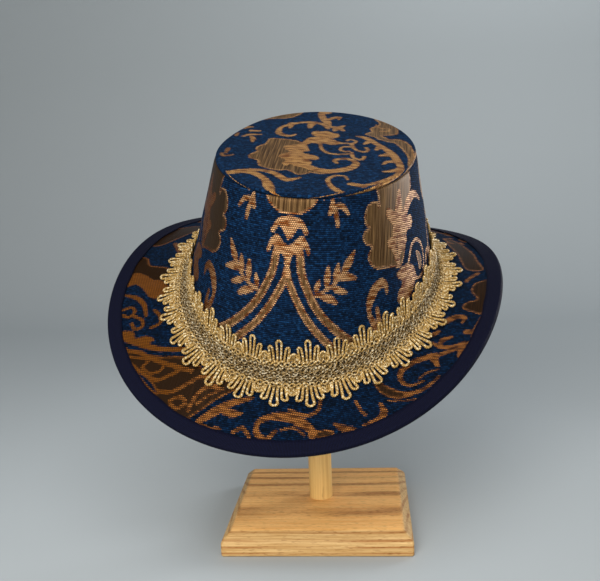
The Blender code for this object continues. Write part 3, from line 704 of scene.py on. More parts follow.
    # the figures' edges, stepped by the ribs
    step = addNode(tree, "Math", timesPlus, {0: crest, 1: weave["tooth"], 2: -0.9})
    ragged = addNode(tree, "Math", timesPlus, {0: shades["fleck"], 1: 1.2, 2: -0.6})
    step = addNode(tree, "Math", {"operation": "ADD"}, {0: step, 1: ragged})
    masks = {}
    for yarn in ("copper", "bronze"):
        depth = addNode(tree, "Attribute", {"attribute_name": yarn}).outputs["Fac"]
        edge = addNode(tree, "Math", {"operation": "ADD"}, {0: depth, 1: step})
        masks[yarn] = addNode(tree, "MapRange", {}, {0: edge, 1: -0.2, 2: 0.2})
        if yarn == "bronze":
            inner = addNode(tree, "MapRange", {}, {0: edge, 1: weave["outline"], 2: weave["outline"] + 0.4})
            line = addNode(tree, "Math", {"operation": "SUBTRACT", "use_clamp": True},
                           {0: masks[yarn], 1: inner})
            masks["copper"] = addNode(tree, "Math", {"operation": "MAXIMUM"}, {0: masks["copper"], 1: line})

    colour = addNode(tree, "Mix", blend, {0: masks["bronze"], 6: ground, 7: satin})
    colour = addNode(tree, "Mix", blend, {0: masks["copper"], 6: colour, 7: floats})
    rough = addNode(tree, "Mix", {}, {0: masks["bronze"], 2: 0.92, 3: 0.5})
    rough = addNode(tree, "Mix", {}, {0: masks["copper"], 2: rough, 3: 0.45})
    yarns = addNode(tree, "Math", {"operation": "MAXIMUM"}, {0: masks["copper"], 1: masks["bronze"]})
    # the painted shade on the hat's left also takes most of the yarns' metal shine away
    gilt = addNode(tree, "MapRange", {}, {0: paintedShadeShares["copper"], 3: gilt, 4: 0.1 * gilt})
    gilt = addNode(tree, "Math", times, {0: yarns, 1: gilt})
    tree.links.new(gilt.outputs[0], shader.inputs["Metallic"])

    soft = addNode(tree, "Math", timesPlus, {0: shades["fleck"], 1: 0.6, 2: crest})
    flat = addNode(tree, "Math", timesPlus, {0: streak, 1: 0.5, 2: 0.2})
    floated = addNode(tree, "Math", timesPlus, {0: crest, 1: 0.9, 2: 0.3})
    height = addNode(tree, "Mix", {}, {0: masks["bronze"], 2: soft, 3: flat})
    height = addNode(tree, "Mix", {}, {0: masks["copper"], 2: height, 3: floated})
    relief = addNode(tree, "Bump", {}, {"Strength": 0.9, "Distance": 0.0003, "Height": height})
    tree.links.new(colour.outputs[2], shader.inputs["Base Color"])
    tree.links.new(rough.outputs[0], shader.inputs["Roughness"])
    tree.links.new(relief.outputs[0], shader.inputs["Normal"])
    return material


brocade = brocadeMaterial("jacquardBrocade", brocadeColours, 0.35)
tipBrocade = brocadeMaterial("jacquardBrocadeTip", brocadeColours | tipSheenColours, 0.3)
brimBrocade = brocadeMaterial("jacquardBrocadeBrim", brocadeColours | brimShadedColours, 0.15)
print("brocade ready")


# crown side: a tapered tube of stiffened cloth, its seam at the back
sideCloth = {
    "middle": 4.0,         # mm from the hat's middle line to the pattern's
    "repeat": 127.0,       # mm from that line to the next one
    "rise": 128.0,         # mm from one row of figures to the next
    "rowFrom": 22.0,       # mm below the foot, where the first row begins
    "figuresEnd": 145.0,   # mm from the middle line; past it the tip's scrolls run over the back seam
    "scrollReach": 92.0,
    "scrollHeight": 62.0,
    "innerRows": 8,
    "softTop": 0.0007,     # how far the top edge turns in
    "uneven": 0.0004,
}


def sideLengths():
    # the way round the crown at half its height, from the front's middle
    angles = np.linspace(-pi, pi, 1441)
    line = crownPoint(angles, np.full_like(angles, crown["height"] / 2))
    lengths = runLengths(line)
    return angles, lengths - lengths[len(lengths) // 2]


def buildCrownSide():
    angles, lengths = sideLengths()
    whole = lengths[-1] - lengths[0]
    columns = round(whole / crown["threadStep"])
    outerRows = round(1.12 * crown["height"] / crown["threadStep"])
    innerRows = sideCloth["innerRows"]
    shares = np.concatenate((np.linspace(0, 1, outerRows + 1), np.linspace(1, 0, innerRows + 1), [0.0]))
    insets = np.concatenate((np.zeros(outerRows + 1), np.full(innerRows + 1, crown["wall"]), [0.0]))
    mesh, column, row = gridMesh("crownSide", columns, len(shares) - 1)
    azimuth = -pi + 2 * pi * column / columns
    foot = seamHeight(azimuth) + brimInner(azimuth, -brim["thickness"])[1]
    top = crown["height"] - crown["tipThickness"] - crown["seamGap"]
    height = foot + (top - foot) * shares[row]
    outer = (row <= outerRows) | (row == len(shares) - 1)
    inset = insets[row] + np.where(outer, sideCloth["softTop"] * np.exp(-(top - height) / 0.0009), 0)
    points = toWorld(crownPoint(azimuth, height, inset))
    normal = outward(azimuth) @ np.array(hatTurn).T
    lift = unevenness(points, 0.03, sideCloth["uneven"], 3.0)
    points += normal * lift[:, None]

    # the cloth lies flat as a part of a ring, so its ribs drop away from the front
    u = np.interp(azimuth, angles, lengths) / mm - sideCloth["middle"]
    v = height / mm
    middle = crown["height"] / 2 / mm
    taper = (crown["footWidth"] - crown["topWidth"] + crown["footLength"] - crown["topLength"]) / 4 / mm
    slant = np.hypot(crown["height"] / mm, taper) / (crown["height"] / mm)
    radius = whole / mm / (2 * pi * taper / (slant * crown["height"] / mm))
    spread = radius - (v - middle) * slant
    clothX = spread * np.sin(u / radius)
    clothY = middle + radius - spread * np.cos(u / radius)

    # the figures repeat over the cloth, mirrored about their middle lines
    chartX = np.abs(clothX)
    chartX = np.where(chartX > sideCloth["repeat"], 2 * sideCloth["repeat"] - chartX, chartX)
    away = middle + radius - clothY
    chartU = np.arctan2(chartX, away) * radius
    chartV = middle + (radius - np.hypot(chartX, away)) / slant
    chartV = (chartV + sideCloth["rowFrom"]) % sideCloth["rise"] - sideCloth["rowFrom"]
    depths = chartDepths(chartU, chartV, crownFigures)
    fromSeam = u - np.sign(u) * whole / mm / 2
    behind = np.abs(fromSeam) < sideCloth["scrollReach"]
    scrolls = chartDepths(v[behind] - sideCloth["scrollHeight"], fromSeam[behind], tipFigures)
    for yarn, values in depths.items():
        values[np.abs(clothX) > sideCloth["figuresEnd"]] = -figureReach
        values[behind] = np.maximum(values[behind], scrolls[yarn])
        values[~outer] = -figureReach
    setCloth(mesh, points, np.stack((clothX, clothY), -1), depths)
    return finishPiece("crownSide", closeMesh(mesh), brocade, "brocade", "crown_side")


buildCrownSide()


# crown tip: a flat oval of the same cloth with a soft rim
tipCloth = {
    "across": 150,          # mesh cells across and along the oval
    "along": 180,
    "rim": [                # from the flat top outwards and down: inset and drop as shares of the thickness
        {"inset": 0.60, "drop": 0.00},
        {"inset": 0.25, "drop": 0.12},
        {"inset": 0.02, "drop": 0.38},
        {"inset": 0.00, "drop": 0.62},
        {"inset": 0.15, "drop": 1.00},
    ],
    "grain": radians(-8),   # how far its ribs are turned from the crown's
    "dome": 0.0006,
    "uneven": 0.0005,
}


def buildCrownTip():
    mesh, column, row = gridMesh("crownTip", tipCloth["across"], tipCloth["along"])
    thick = crown["tipThickness"]
    x = column / tipCloth["across"] * 2 - 1
    y = row / tipCloth["along"] * 2 - 1
    discX, discY = x * np.sqrt(1 - y * y / 2), y * np.sqrt(1 - x * x / 2)
    azimuth = np.arctan2(discX, -discY)
    out = np.hypot(discX, discY)
    rim = crownPoint(azimuth, np.full_like(azimuth, crown["height"]), tipCloth["rim"][0]["inset"] * thick)
    local = rim * out[:, None]
    dome = tipCloth["dome"] * (1 - out ** 2) ** 2
    local[:, 2] = crown["height"] + dome + unevenness(local, 0.025, tipCloth["uneven"], 7.0) * (1 - out ** 4)
    plan = local[:, :2] / mm
    depths = chartDepths(plan[:, 0], plan[:, 1], tipFigures)
    turn = tipCloth["grain"]
    cloth = np.stack((plan[:, 0] * cos(turn) - plan[:, 1] * sin(turn),
                      plan[:, 0] * sin(turn) + plan[:, 1] * cos(turn)), -1)
    setCloth(mesh, local, cloth, depths)

    shape = bmesh.new()
    shape.from_mesh(mesh)
    clothLayer = shape.loops.layers.uv["cloth"]
    edges = [edge for edge in shape.edges if edge.is_boundary]
    for rimRow in tipCloth["rim"][1:]:
        grown = bmesh.ops.extrude_edge_only(shape, edges=edges)["geom"]
        edges = [item for item in grown if isinstance(item, bmesh.types.BMEdge)]
        corners = [item for item in grown if isinstance(item, bmesh.types.BMVert)]
        turns = np.array([np.arctan2(corner.co.x, -corner.co.y) for corner in corners])
        ring = crownPoint(turns, np.full_like(turns, crown["height"]), rimRow["inset"] * thick)
        for corner, point in zip(corners, ring):
            corner.co = Vector((point[0], point[1], crown["height"] - rimRow["drop"] * thick))
        for face in {face for corner in corners for face in corner.link_faces}:
            for loop in face.loops:
                loop[clothLayer].uv = (loop.vert.co.x / mm, (loop.vert.co.y - loop.vert.co.z) / mm)
    bmesh.ops.contextual_create(shape, geom=edges)
    shape.transform(Matrix.Translation(hatOrigin) @ hatTurn.to_4x4())
    shape.to_mesh(mesh)
    shape.free()
    return finishPiece("crownTip", closeMesh(mesh), tipBrocade, "brocade", "crown_tip")


buildCrownTip()


# brim: a curled ring of the same cloth
brimCloth = {
    "columns": 760,
    "rows": 56,
    "underRows": 8,
    "uneven": 0.0005,
    "backFrom": 62.0,       # mm behind the middle where the front's figures come round again
}
binding = {
    "face": 0.0095,
    "thickness": 0.0007,
    "columns": 640,
    "foldSteps": 7,
    "faceSteps": 4,
    "rib": 0.85,            # mm from one rib of the tape to the next
    "waver": 0.0002,
}


def fromEdge(azimuth, distance):
    return 1 - distance / brimLength(azimuth)


def buildBrim():
    rows, under, columns = brimCloth["rows"], brimCloth["underRows"], brimCloth["columns"]
    travel = np.concatenate((np.linspace(0, 1, rows + 1), np.linspace(1, 0, under + 1), [0.0]))
    offsets = np.concatenate((np.zeros(rows + 1), np.full(under + 1, -brim["thickness"]), [0.0]))
    mesh, column, row = gridMesh("brimSheet", columns, len(travel) - 1)
    azimuth = -pi + 2 * pi * column / columns
    reach, rise = np.zeros_like(azimuth), np.zeros_like(azimuth)
    for offset in (0.0, -brim["thickness"]):
        on = offsets[row] == offset
        turn = azimuth[on]
        innerReach, innerRise = brimInner(turn, offset)
        innerShare = innerReach / (around("reach", turn) * brim["width"])
        edgeShare = fromEdge(turn, binding["thickness"] + crown["seamGap"])
        share = innerShare + (edgeShare - innerShare) * travel[row[on]]
        across, up = brimSection(turn, share, offset)
        atSeam = travel[row[on]] == 0
        reach[on] = np.where(atSeam, innerReach, across)
        rise[on] = np.where(atSeam, innerRise, up)
    local = sectionPoint(azimuth, reach, rise)
    lift = unevenness(local, 0.035, brimCloth["uneven"], 11.0) * np.clip(travel[row] * 3, 0, 1)
    local[:, 2] += lift * np.clip((1 - travel[row]) * 6, 0, 1)
    plan = local[:, :2] / mm
    depths = chartDepths(plan[:, 0], plan[:, 1], brimFigures)
    back = plan[:, 1] > brimCloth["backFrom"]
    behind = chartDepths(-plan[back, 0], -plan[back, 1], brimFigures)
    upper = (row <= rows) | (row == len(travel) - 1)
    for yarn, values in depths.items():
        values[back] = np.maximum(values[back], behind[yarn])
        values[~upper] = -figureReach
    setCloth(mesh, toWorld(local), plan, depths)
    return finishPiece("brimSheet", closeMesh(mesh), brimBrocade, "brocade", "brim")


buildBrim()


# Grosgrain tape in near-black navy: close crosswise ribs that glint a little on the curled edge
def grosgrainMaterial():
    material, tree, shader = newMaterial("navyGrosgrain", {"Roughness": 0.75, "Specular IOR Level": 0.08})
    tape = addNode(tree, "SeparateXYZ", {}, {0: addNode(tree, "UVMap", {"uv_map": "cloth"})})
    ribs = addNode(tree, "Math", times, {0: tape.outputs[0], 1: 2 * pi / binding["rib"]})
    crest = addNode(tree, "Math", {"operation": "SINE"}, {0: ribs})
    # painted light and shade: the ribs' crests are painted lighter and their troughs darker
    share = addNode(tree, "MapRange", {}, {0: crest, 1: -1.0, 2: 1.0, 3: 0.15, 4: 0.9})
    fleckAt = addNode(tree, "CombineXYZ", {}, {0: tape.outputs[0], 1: tape.outputs[1]})
    fleck = addNode(tree, "TexNoise", flatNoise, {"Vector": fleckAt, "Scale": 1.6, "Detail": 2.0})
    share = addNode(tree, "Math", times, {0: share, 1: fleck})
    colour = addNode(tree, "Mix", blend, {0: share, 6: linear("#030309"), 7: linear("#121738")})
    height = addNode(tree, "Math", timesPlus, {0: fleck, 1: 0.5, 2: crest})
    relief = addNode(tree, "Bump", {}, {"Strength": 0.5, "Distance": 0.00015, "Height": height})
    tree.links.new(colour.outputs[2], shader.inputs["Base Color"])
    tree.links.new(relief.outputs[0], shader.inputs["Normal"])
    return material


def bindingRows():
    # the folded tape's section, as distance from the brim's edge and offset from its upper face
    near = crown["seamGap"]
    far = near + binding["thickness"]
    below = -brim["thickness"]
    face = binding["face"]
    outerHalf = (far - (below - far)) / 2
    middle = (far + below - far) / 2
    rows = [(distance, far) for distance in np.linspace(face, far, binding["faceSteps"] + 1)]
    for turn in np.linspace(pi / 2, -pi / 2, binding["foldSteps"] + 2)[1:-1]:
        rows.append((far * (1 - cos(turn)), middle + outerHalf * sin(turn)))
    rows += [(distance, below - far) for distance in np.linspace(far, face, binding["faceSteps"] + 1)]
    inner = binding["thickness"]
    rows += [(face, below - near), (inner, below - near), (inner, near), (face, near)]
    return rows + rows[:1]


def buildBinding():
    rows = bindingRows()
    columns = binding["columns"]
    mesh, column, row = gridMesh("brimBinding", columns, len(rows) - 1)
    azimuth = -pi + 2 * pi * column / columns
    section = np.array(rows)
    distance, offset = section[row, 0], section[row, 1]
    waver = np.sin(azimuth * 23) + np.sin(azimuth * 37 + 1)
    distance = distance + np.where(distance > 0.8 * binding["face"], waver * binding["waver"], 0)
    reach, rise = brimSection(azimuth, fromEdge(azimuth, distance), offset)
    points = toWorld(sectionPoint(azimuth, reach, rise))
    edge = toWorld(sectionPoint(azimuth, *brimSection(azimuth, np.ones_like(azimuth), 0.0)))
    order = np.argsort(column[row == 0])
    line = edge[row == 0][order]
    lengths = runLengths(line) / mm
    lengths *= round(lengths[-1] / binding["rib"]) * binding["rib"] / lengths[-1]
    widths = runLengths(section) / mm
    setCloth(mesh, points, np.stack((lengths[column], widths[row]), -1), {})
    return finishPiece("brimBinding", closeMesh(mesh), grosgrainMaterial(), "grosgrain", "brim_binding")


buildBinding()


# gold gimp braid over the seam: one flat unit of its pattern is laid out in millimetres,
# repeated along the braid's length and then bent round the hat
braid = {
    "coreWidth": 18.6,
    "cord": 1.55,
    "chainCord": 1.25,
    "crossCord": 1.3,
    "strandCord": 0.95,    # the straight strands between two fans
    "wrap": 0.9,           # from one turn of the gilt thread round a cord to the next
    "pitch": 17.4,
    "start": 3.8,          # from the front's middle to the nearest fan
    "rise": 1.2,           # how far the braid's middle lies above the seam, and how much more at the back
    "backRise": 3.6,
    "fold": 3.9,           # the corner that the braid rounds off, each way from the seam
    "restsAt": 0.3,        # the cords' undersides clear the cloth by this
    "sides": 7,
    "fewSides": 5,
    "lift": 2.2,           # how far the loops' tips spring off the cloth
    "coreRuffle": 0.9,     # how unevenly the core's cords lie
    "crossCords": 12,      # crosswise cords in one unit of the core
    "chainWaves": 2.5,     # two crossed waves make five links in one unit
    "archHalf": 2.7,       # the small arch between two fans, half its width and its height
    "archHigh": 4.3,
    "sway": 0.9,           # how far a fan's tips lean to one side
}
# each loop's middle along the braid, foot width, eye above and below, length beyond the core, and lean
fanLoops = [
    {"at": 0.0, "foot": 2.1, "eyeAbove": 3.0, "eyeBelow": 3.6, "length": 12.0, "lean": 0.0},
    {"at": -4.1, "foot": 2.0, "eyeAbove": 2.1, "eyeBelow": 2.7, "length": 8.4, "lean": -1.5},
    {"at": 4.1, "foot": 2.0, "eyeAbove": 2.1, "eyeBelow": 2.7, "length": 8.4, "lean": 1.5},
]
# the straight strands between two fans: place along from their middle, and length beyond the core
fanStrands = [
    {"at": -1.5, "length": 2.0},
    {"at": -0.5, "length": 2.6},
    {"at": 0.5, "length": 2.6},
    {"at": 1.5, "length": 2.0},
]
# the core's rows of links: place across, half height, shift as a share of a wave, and silver in them
chainRows = [
    {"at": -7.2, "wave": 1.3, "shift": 0.0, "silver": 0.2},
    {"at": -3.6, "wave": 1.5, "shift": 0.25, "silver": 0.9},
    {"at": 0.0, "wave": 1.5, "shift": 0.0, "silver": 1.0},
    {"at": 3.6, "wave": 1.5, "shift": 0.25, "silver": 0.9},
    {"at": 7.2, "wave": 1.3, "shift": 0.0, "silver": 0.2},
]


cordMarks = ("along", "roundCos", "roundSin", "silver", "shadedUnder")


def layCord(shape, path, thickness, sides, silver=0.0, shadedUnder=0.0):
    # sweeps a ring along the path and closes both ends; silver tells the finish its tone, and the last value
    # marks a cord that lies under others, which the finish paints dark as painted shade
    marks = {name: shape.verts.layers.float[name] for name in cordMarks}
    points = [Vector(point) for point in path]
    ring = bmesh.ops.create_circle(shape, cap_ends=False, segments=sides, radius=thickness / 2)["verts"]
    edges = list({edge for vert in ring for edge in vert.link_edges})
    firstEdges = edges
    place = Matrix.Identity(4)
    along = 0.0
    side = Vector((0, 0, 1))
    for index, point in enumerate(points):
        before, after = points[max(index - 1, 0)], points[min(index + 1, len(points) - 1)]
        ahead = (after - before).normalized()
        side = (side - ahead * side.dot(ahead)).normalized()
        turned = Matrix((side, ahead.cross(side), ahead)).transposed().to_4x4()
        nextPlace = Matrix.Translation(point) @ turned
        if index:
            along += (point - points[index - 1]).length
            grown = bmesh.ops.extrude_edge_only(shape, edges=edges)["geom"]
            ring = [item for item in grown if isinstance(item, bmesh.types.BMVert)]
            edges = [item for item in grown if isinstance(item, bmesh.types.BMEdge)]
        bmesh.ops.transform(shape, matrix=nextPlace @ place.inverted(), verts=ring)
        place = nextPlace
        back = place.inverted()
        for vert in ring:
            spot = back @ vert.co
            vert[marks["along"]] = along
            vert[marks["roundCos"]] = spot.x / (thickness / 2)
            vert[marks["roundSin"]] = spot.y / (thickness / 2)
            vert[marks["silver"]] = silver
            vert[marks["shadedUnder"]] = shadedUnder
    for rim in (firstEdges, edges):
        bmesh.ops.contextual_create(shape, geom=rim)


def newCordShape():
    shape = bmesh.new()
    for name in cordMarks:
        shape.verts.layers.float.new(name)
    return shape


def loopPath(loop, wide, foot, length, steps=7):
    # up one side, round the eye and down the other
    side = [(-loop["foot"] / 2, foot), (-loop["foot"] / 2 - 0.1, foot + (length - foot) * 0.35)]
    eye = length - wide / 2 - 0.2
    for step in range(steps + 1):
        turn = pi * step / steps
        side.append((-cos(turn) * wide / 2, eye + sin(turn) * (wide / 2 + 0.2) - 0.9))
    side += [(loop["foot"] / 2 + 0.1, foot + (length - foot) * 0.35), (loop["foot"] / 2, foot)]
    line = smoothPath(side, False, 2)
    lean = loop["lean"] * ((line[:, 1] - foot) / max(length - foot, 1)) ** 1.3
    return [(loop["at"] + x + shift, y) for (x, y), shift in zip(line, lean)]


def fanUnit():
    # one fan of loops and the arch beside it, on both edges of the core
    shape = newCordShape()
    edge = braid["coreWidth"] / 2
    middle = braid["pitch"] / 2
    level = braid["restsAt"] + braid["cord"] / 2
    for side in (1, -1):
        for order, loop in enumerate(fanLoops):
            wide = loop["eyeAbove" if side > 0 else "eyeBelow"]
            flat = loopPath(loop, wide, edge - 1.6, edge + loop["length"])
            height = level + (0.5 if order else 0.0)
            layCord(shape, [(x, side * y, height) for x, y in flat], braid["cord"], braid["sides"])
        arch = []
        for step in range(11):
            turn = pi * step / 10
            out = edge - 0.6 + sin(turn) * braid["archHigh"]
            arch.append((middle - cos(turn) * braid["archHalf"], side * out, level + 0.35))
        layCord(shape, arch, braid["cord"], braid["sides"])
        for row in fanStrands:
            at = middle + row["at"]
            strand = [(at, side * (edge - 1.2), level), (at, side * (edge + row["length"]), level - 0.15)]
            layCord(shape, strand, braid["strandCord"], braid["fewSides"])
    return shape


def coreUnit():
    # crosswise wavy cords under lengthwise chains with a silver fleck
    shape = newCordShape()
    edge = braid["coreWidth"] / 2
    level = braid["restsAt"] + 0.6
    count = braid["crossCords"]
    for cord in range(count):
        at = braid["pitch"] * (cord + 0.5) / count
        path = []
        for step in range(13):
            y = -edge + 2 * edge * step / 12
            path.append((at + 0.3 * sin(2 * pi * y / 3.8) + 0.1 * y, y, level))
        # these cords lie under the chains and are marked for painted shade
        layCord(shape, path, braid["crossCord"], braid["fewSides"], 0.0, 1.0)
    for chain in chainRows:
        steps = 24
        for side in (1, -1):
            path = []
            for step in range(steps + 1):
                turn = 2 * pi * (braid["chainWaves"] * step / steps + chain["shift"])
                path.append((braid["pitch"] * step / steps, chain["at"] + side * chain["wave"] * sin(turn),
                             level + 1.05 + 0.45 * side * cos(turn)))
            layCord(shape, path, braid["chainCord"], braid["fewSides"], chain["silver"])
    return shape


def seamLine():
    angles = np.linspace(-pi, pi, 2881)
    line = crownPoint(angles, seamHeight(angles))
    lengths = runLengths(line)
    return angles, (lengths - lengths[len(lengths) // 2]) / mm


def braidOnHat(along, climb, standoff):
    # above the seam the braid lies on the crown, below it on the brim, and it rounds the corner between
    angles, lengths = seamLine()
    whole = lengths[-1] - lengths[0]
    azimuth = np.interp((along - lengths[0]) % whole + lengths[0], lengths, angles)
    backness = np.clip(-1.6 * np.cos(azimuth), 0, 1)
    climb = (climb + braid["rise"] + braid["backRise"] * backness) * mm
    standoff = standoff * mm
    fold = braid["fold"] * mm

    def laid(climbing):
        wall = wallReach(azimuth, climbing)
        length = np.hypot(climbing, wall) + 1e-12
        onCrown = (wall + standoff * climbing / length, climbing - standoff * wall / length)
        onBrim = brimSection(azimuth, -climbing / brimLength(azimuth), standoff)
        reach, rise = (np.where(climbing > 0, *pair) for pair in zip(onCrown, onBrim))
        return sectionPoint(azimuth, reach, rise)

    corner = np.full_like(climb, fold)
    share = np.clip((climb + fold) / (2 * fold), 0, 1)[:, None]
    rounded = ((1 - share) ** 2 * laid(-corner) + share ** 2 * laid(corner)
               + 2 * share * (1 - share) * (laid(-corner * 0.3) + laid(corner * 0.3)) / 2)
    return toWorld(np.where((np.abs(climb) < fold)[:, None], rounded, laid(climb)))


def bendBraid(name, shape, material, ruffle, *replaced):
    lengths = seamLine()[1]
    fans = round((lengths[-1] - lengths[0]) / braid["pitch"])
    pitch = (lengths[-1] - lengths[0]) / fans
    item = bpy.data.objects.new(name + "Unit", takeMesh(name + "Unit", shape))
    bpy.context.scene.collection.objects.link(item)
    copies = item.modifiers.new("repeat", "ARRAY")
    copies.count = fans
    copies.use_relative_offset = False
    copies.use_constant_offset = True
    copies.constant_offset_displace = (pitch, 0, 0)
    bpy.context.view_layer.update()
    mesh = bpy.data.meshes.new_from_object(item.evaluated_get(bpy.context.evaluated_depsgraph_get()))
    mesh.name = name
    bpy.data.objects.remove(item)
    spots = readPoints(mesh)

    # each fan sits a little differently, and its tips spring off the cloth
    fan = np.floor(spots[:, 0] / pitch + 0.5)
    edge = braid["coreWidth"] / 2
    beyond = np.clip(np.abs(spots[:, 1]) - edge, 0, 99) / 12.5
    upper = np.sign(spots[:, 1])
    sway = np.sin(fan * 12.9898 + upper * 4.1) * braid["sway"]
    spring = 0.5 + 0.5 * np.sin(fan * 78.233 + upper * 2.3)
    along = spots[:, 0] + braid["start"] + sway * beyond ** 1.5
    climb = spots[:, 1] * (1 + 0.04 * np.sin(fan * 39.425 + upper) * beyond)
    standoff = spots[:, 2] + braid["lift"] * spring * beyond ** 1.5
    if ruffle:
        for axis, values in enumerate((along, climb, standoff)):
            values += unevenness(spots, 1.9, ruffle, 5.0 + 20 * axis)
    placePoints(mesh, braidOnHat(along, climb, standoff))
    return finishPiece(name, closeMesh(mesh, joined=False), material, "gold_gimp", *replaced)


# Gold gimp: rayon cord wrapped in gilt thread, so fine spiral turns sparkle along each cord
def gimpMaterial():
    material, tree, shader = newMaterial("giltGimpCord", {"Metallic": 0.3, "Roughness": 0.5})
    marks = {name: addNode(tree, "Attribute", {"attribute_name": name}).outputs["Fac"] for name in cordMarks}
    # painted light and shade: each turn of the gilt wrap is painted bright on one side and dark on the other
    turn = addNode(tree, "Math", times, {0: marks["along"], 1: 2 * pi / braid["wrap"]})
    spiral = 0.0
    for wave, mark in (("SINE", "roundCos"), ("COSINE", "roundSin")):
        turned = addNode(tree, "Math", {"operation": wave}, {0: turn})
        spiral = addNode(tree, "Math", timesPlus, {0: turned, 1: marks[mark], 2: spiral})
    place = addNode(tree, "TexCoord").outputs["Object"]
    # painted glints: random white flecks stand for the gilt's sparkle, and random dark flecks are painted
    # shade between the strands
    glint = addNode(tree, "TexNoise", {}, {"Vector": place, "Scale": 900.0, "Detail": 1.0})
    patch = addNode(tree, "TexNoise", {}, {"Vector": place, "Scale": 760.0, "Detail": 1.0})
    grey = addNode(tree, "MapRange", {}, {0: patch, 1: 0.53, 2: 0.62, 4: 0.75})
    # painted shade: dark specks in the silver chain cords
    chainGapShade = addNode(tree, "MapRange", {}, {0: patch, 1: 0.56, 2: 0.4, 3: 0.15, 4: 0.85})
    colour = linear("#785826")
    for share, over in (
            (addNode(tree, "MapRange", {}, {0: spiral, 1: -0.9, 2: 0.7}), "#caa458"),
            (addNode(tree, "MapRange", {}, {0: glint, 1: 0.53, 2: 0.68, 4: 0.7}), "#faf0cc"),
            (addNode(tree, "MapRange", {}, {0: glint, 1: 0.45, 2: 0.3, 4: 0.6}), "#5b4420"),
            (addNode(tree, "Math", times, {0: grey, 1: marks["silver"]}), "#c4bda8"),
            (addNode(tree, "Math", times, {0: chainGapShade, 1: marks["silver"]}), "#3c2c14"),
            # painted shade on the cords that lie under the chains
            (addNode(tree, "Math", times, {0: marks["shadedUnder"], 1: 0.85}), "#241a0c")):
        colour = addNode(tree, "Mix", blend, {0: share, 6: colour, 7: linear(over)})
    relief = addNode(tree, "Bump", {}, {"Strength": 0.6, "Distance": 0.0002, "Height": spiral})
    tree.links.new(colour.outputs[2], shader.inputs["Base Color"])
    tree.links.new(relief.outputs[0], shader.inputs["Normal"])
    return material


gimp = gimpMaterial()
bendBraid("braidCore", coreUnit(), gimp, braid["coreRuffle"], "braid_band")
bendBraid("braidFans", fanUnit(), gimp, 0.0)


# stand: an oak block with a chamfered top and a birch dowel
# Oiled oak: open pores and dark early wood in bands along the grain, a low satin; the top is painted lighter
# and redder than the sides, as painted light
def oakMaterial():
    material, tree, shader = newMaterial("oiledOak", {"Roughness": 0.55, "Specular IOR Level": 0.15})
    place = addNode(tree, "TexCoord").outputs["Object"]
    bent = addNode(tree, "Mapping", {}, {"Vector": place, "Rotation": (0.0, 0.0, 0.03),
                                         "Scale": (30.0, 45.0, 60.0)})
    waver = addNode(tree, "TexNoise", {}, {"Vector": bent, "Scale": 1.0, "Detail": 2.0})
    spot = addNode(tree, "SeparateXYZ", {}, {0: place})
    # the year rings crowd together towards the back, and stand on edge in the front face
    depth = addNode(tree, "MapRange", {}, {0: spot.outputs[1], 1: -stand["side"] / 2, 2: stand["side"] / 2})
    crowd = addNode(tree, "Math", {"operation": "POWER"}, {0: depth, 1: 3.0})
    rings = addNode(tree, "Math", timesPlus, {0: depth, 1: 2.0, 2: 0.45})
    rings = addNode(tree, "Math", timesPlus, {0: crowd, 1: 4.5, 2: rings})
    rings = addNode(tree, "Math", timesPlus, {0: spot.outputs[2], 1: 250.0, 2: rings})
    rings = addNode(tree, "Math", timesPlus, {0: waver, 1: 0.3, 2: rings})
    turn = addNode(tree, "Math", times, {0: rings, 1: 2 * pi})
    ringWave = addNode(tree, "Math", {"operation": "SINE"}, {0: turn})
    early = addNode(tree, "MapRange", {"interpolation_type": "SMOOTHSTEP"}, {0: ringWave, 1: 0.0, 2: 1.0})
    grains = {}
    for name, scale, detail in (
            ("faint", (18.0, 90.0, 160.0), 1.0),
            ("pores", (220.0, 1500.0, 1500.0), 1.0),
            ("fibre", (25.0, 900.0, 900.0), 3.0)):
        grainAt = addNode(tree, "Mapping", {}, {"Vector": place, "Scale": scale})
        grains[name] = addNode(tree, "TexNoise", {}, {"Vector": grainAt, "Scale": 1.0, "Detail": detail})
    faint = addNode(tree, "MapRange", {}, {0: grains["faint"], 1: 0.35, 2: 0.62, 3: 0.25, 4: 1.0})
    early = addNode(tree, "Math", times, {0: early, 1: faint})
    pores = addNode(tree, "MapRange", {}, {0: grains["pores"], 1: 0.55, 2: 0.68})
    poreDepth = addNode(tree, "Math", timesPlus, {0: early, 1: 0.5, 2: 0.3})
    poreDepth = addNode(tree, "Math", times, {0: poreDepth, 1: pores})
    fibre = addNode(tree, "MapRange", {}, {0: grains["fibre"], 1: 0.3, 2: 0.7})
    # painted light: the top face gets a lighter, redder colour than the sides
    sideWood, topPaintedLight = (
        addNode(tree, "Mix", blend, {0: fibre, 6: linear(dark), 7: linear(light)})
        for dark, light in (("#b28850", "#dab880"), ("#e4a256", "#f6c47c")))
    onTop = addNode(tree, "MapRange", {}, {0: spot.outputs[2], 1: standTop - 0.0012, 2: standTop - 0.0002})
    colour = sideWood
    for share, over in (
            (onTop, topPaintedLight.outputs[2]),
            (addNode(tree, "Math", times, {0: early, 1: 0.7}), linear("#965c28")),
            (poreDepth, linear("#7a4c1e"))):
        colour = addNode(tree, "Mix", blend, {0: share, 6: colour, 7: over})
    raised = addNode(tree, "Math", {"operation": "SUBTRACT"}, {0: 1.0, 1: poreDepth})
    relief = addNode(tree, "Bump", {}, {"Strength": 0.3, "Distance": 0.0002, "Height": raised})
    tree.links.new(colour.outputs[2], shader.inputs["Base Color"])
    tree.links.new(relief.outputs[0], shader.inputs["Normal"])
    return material


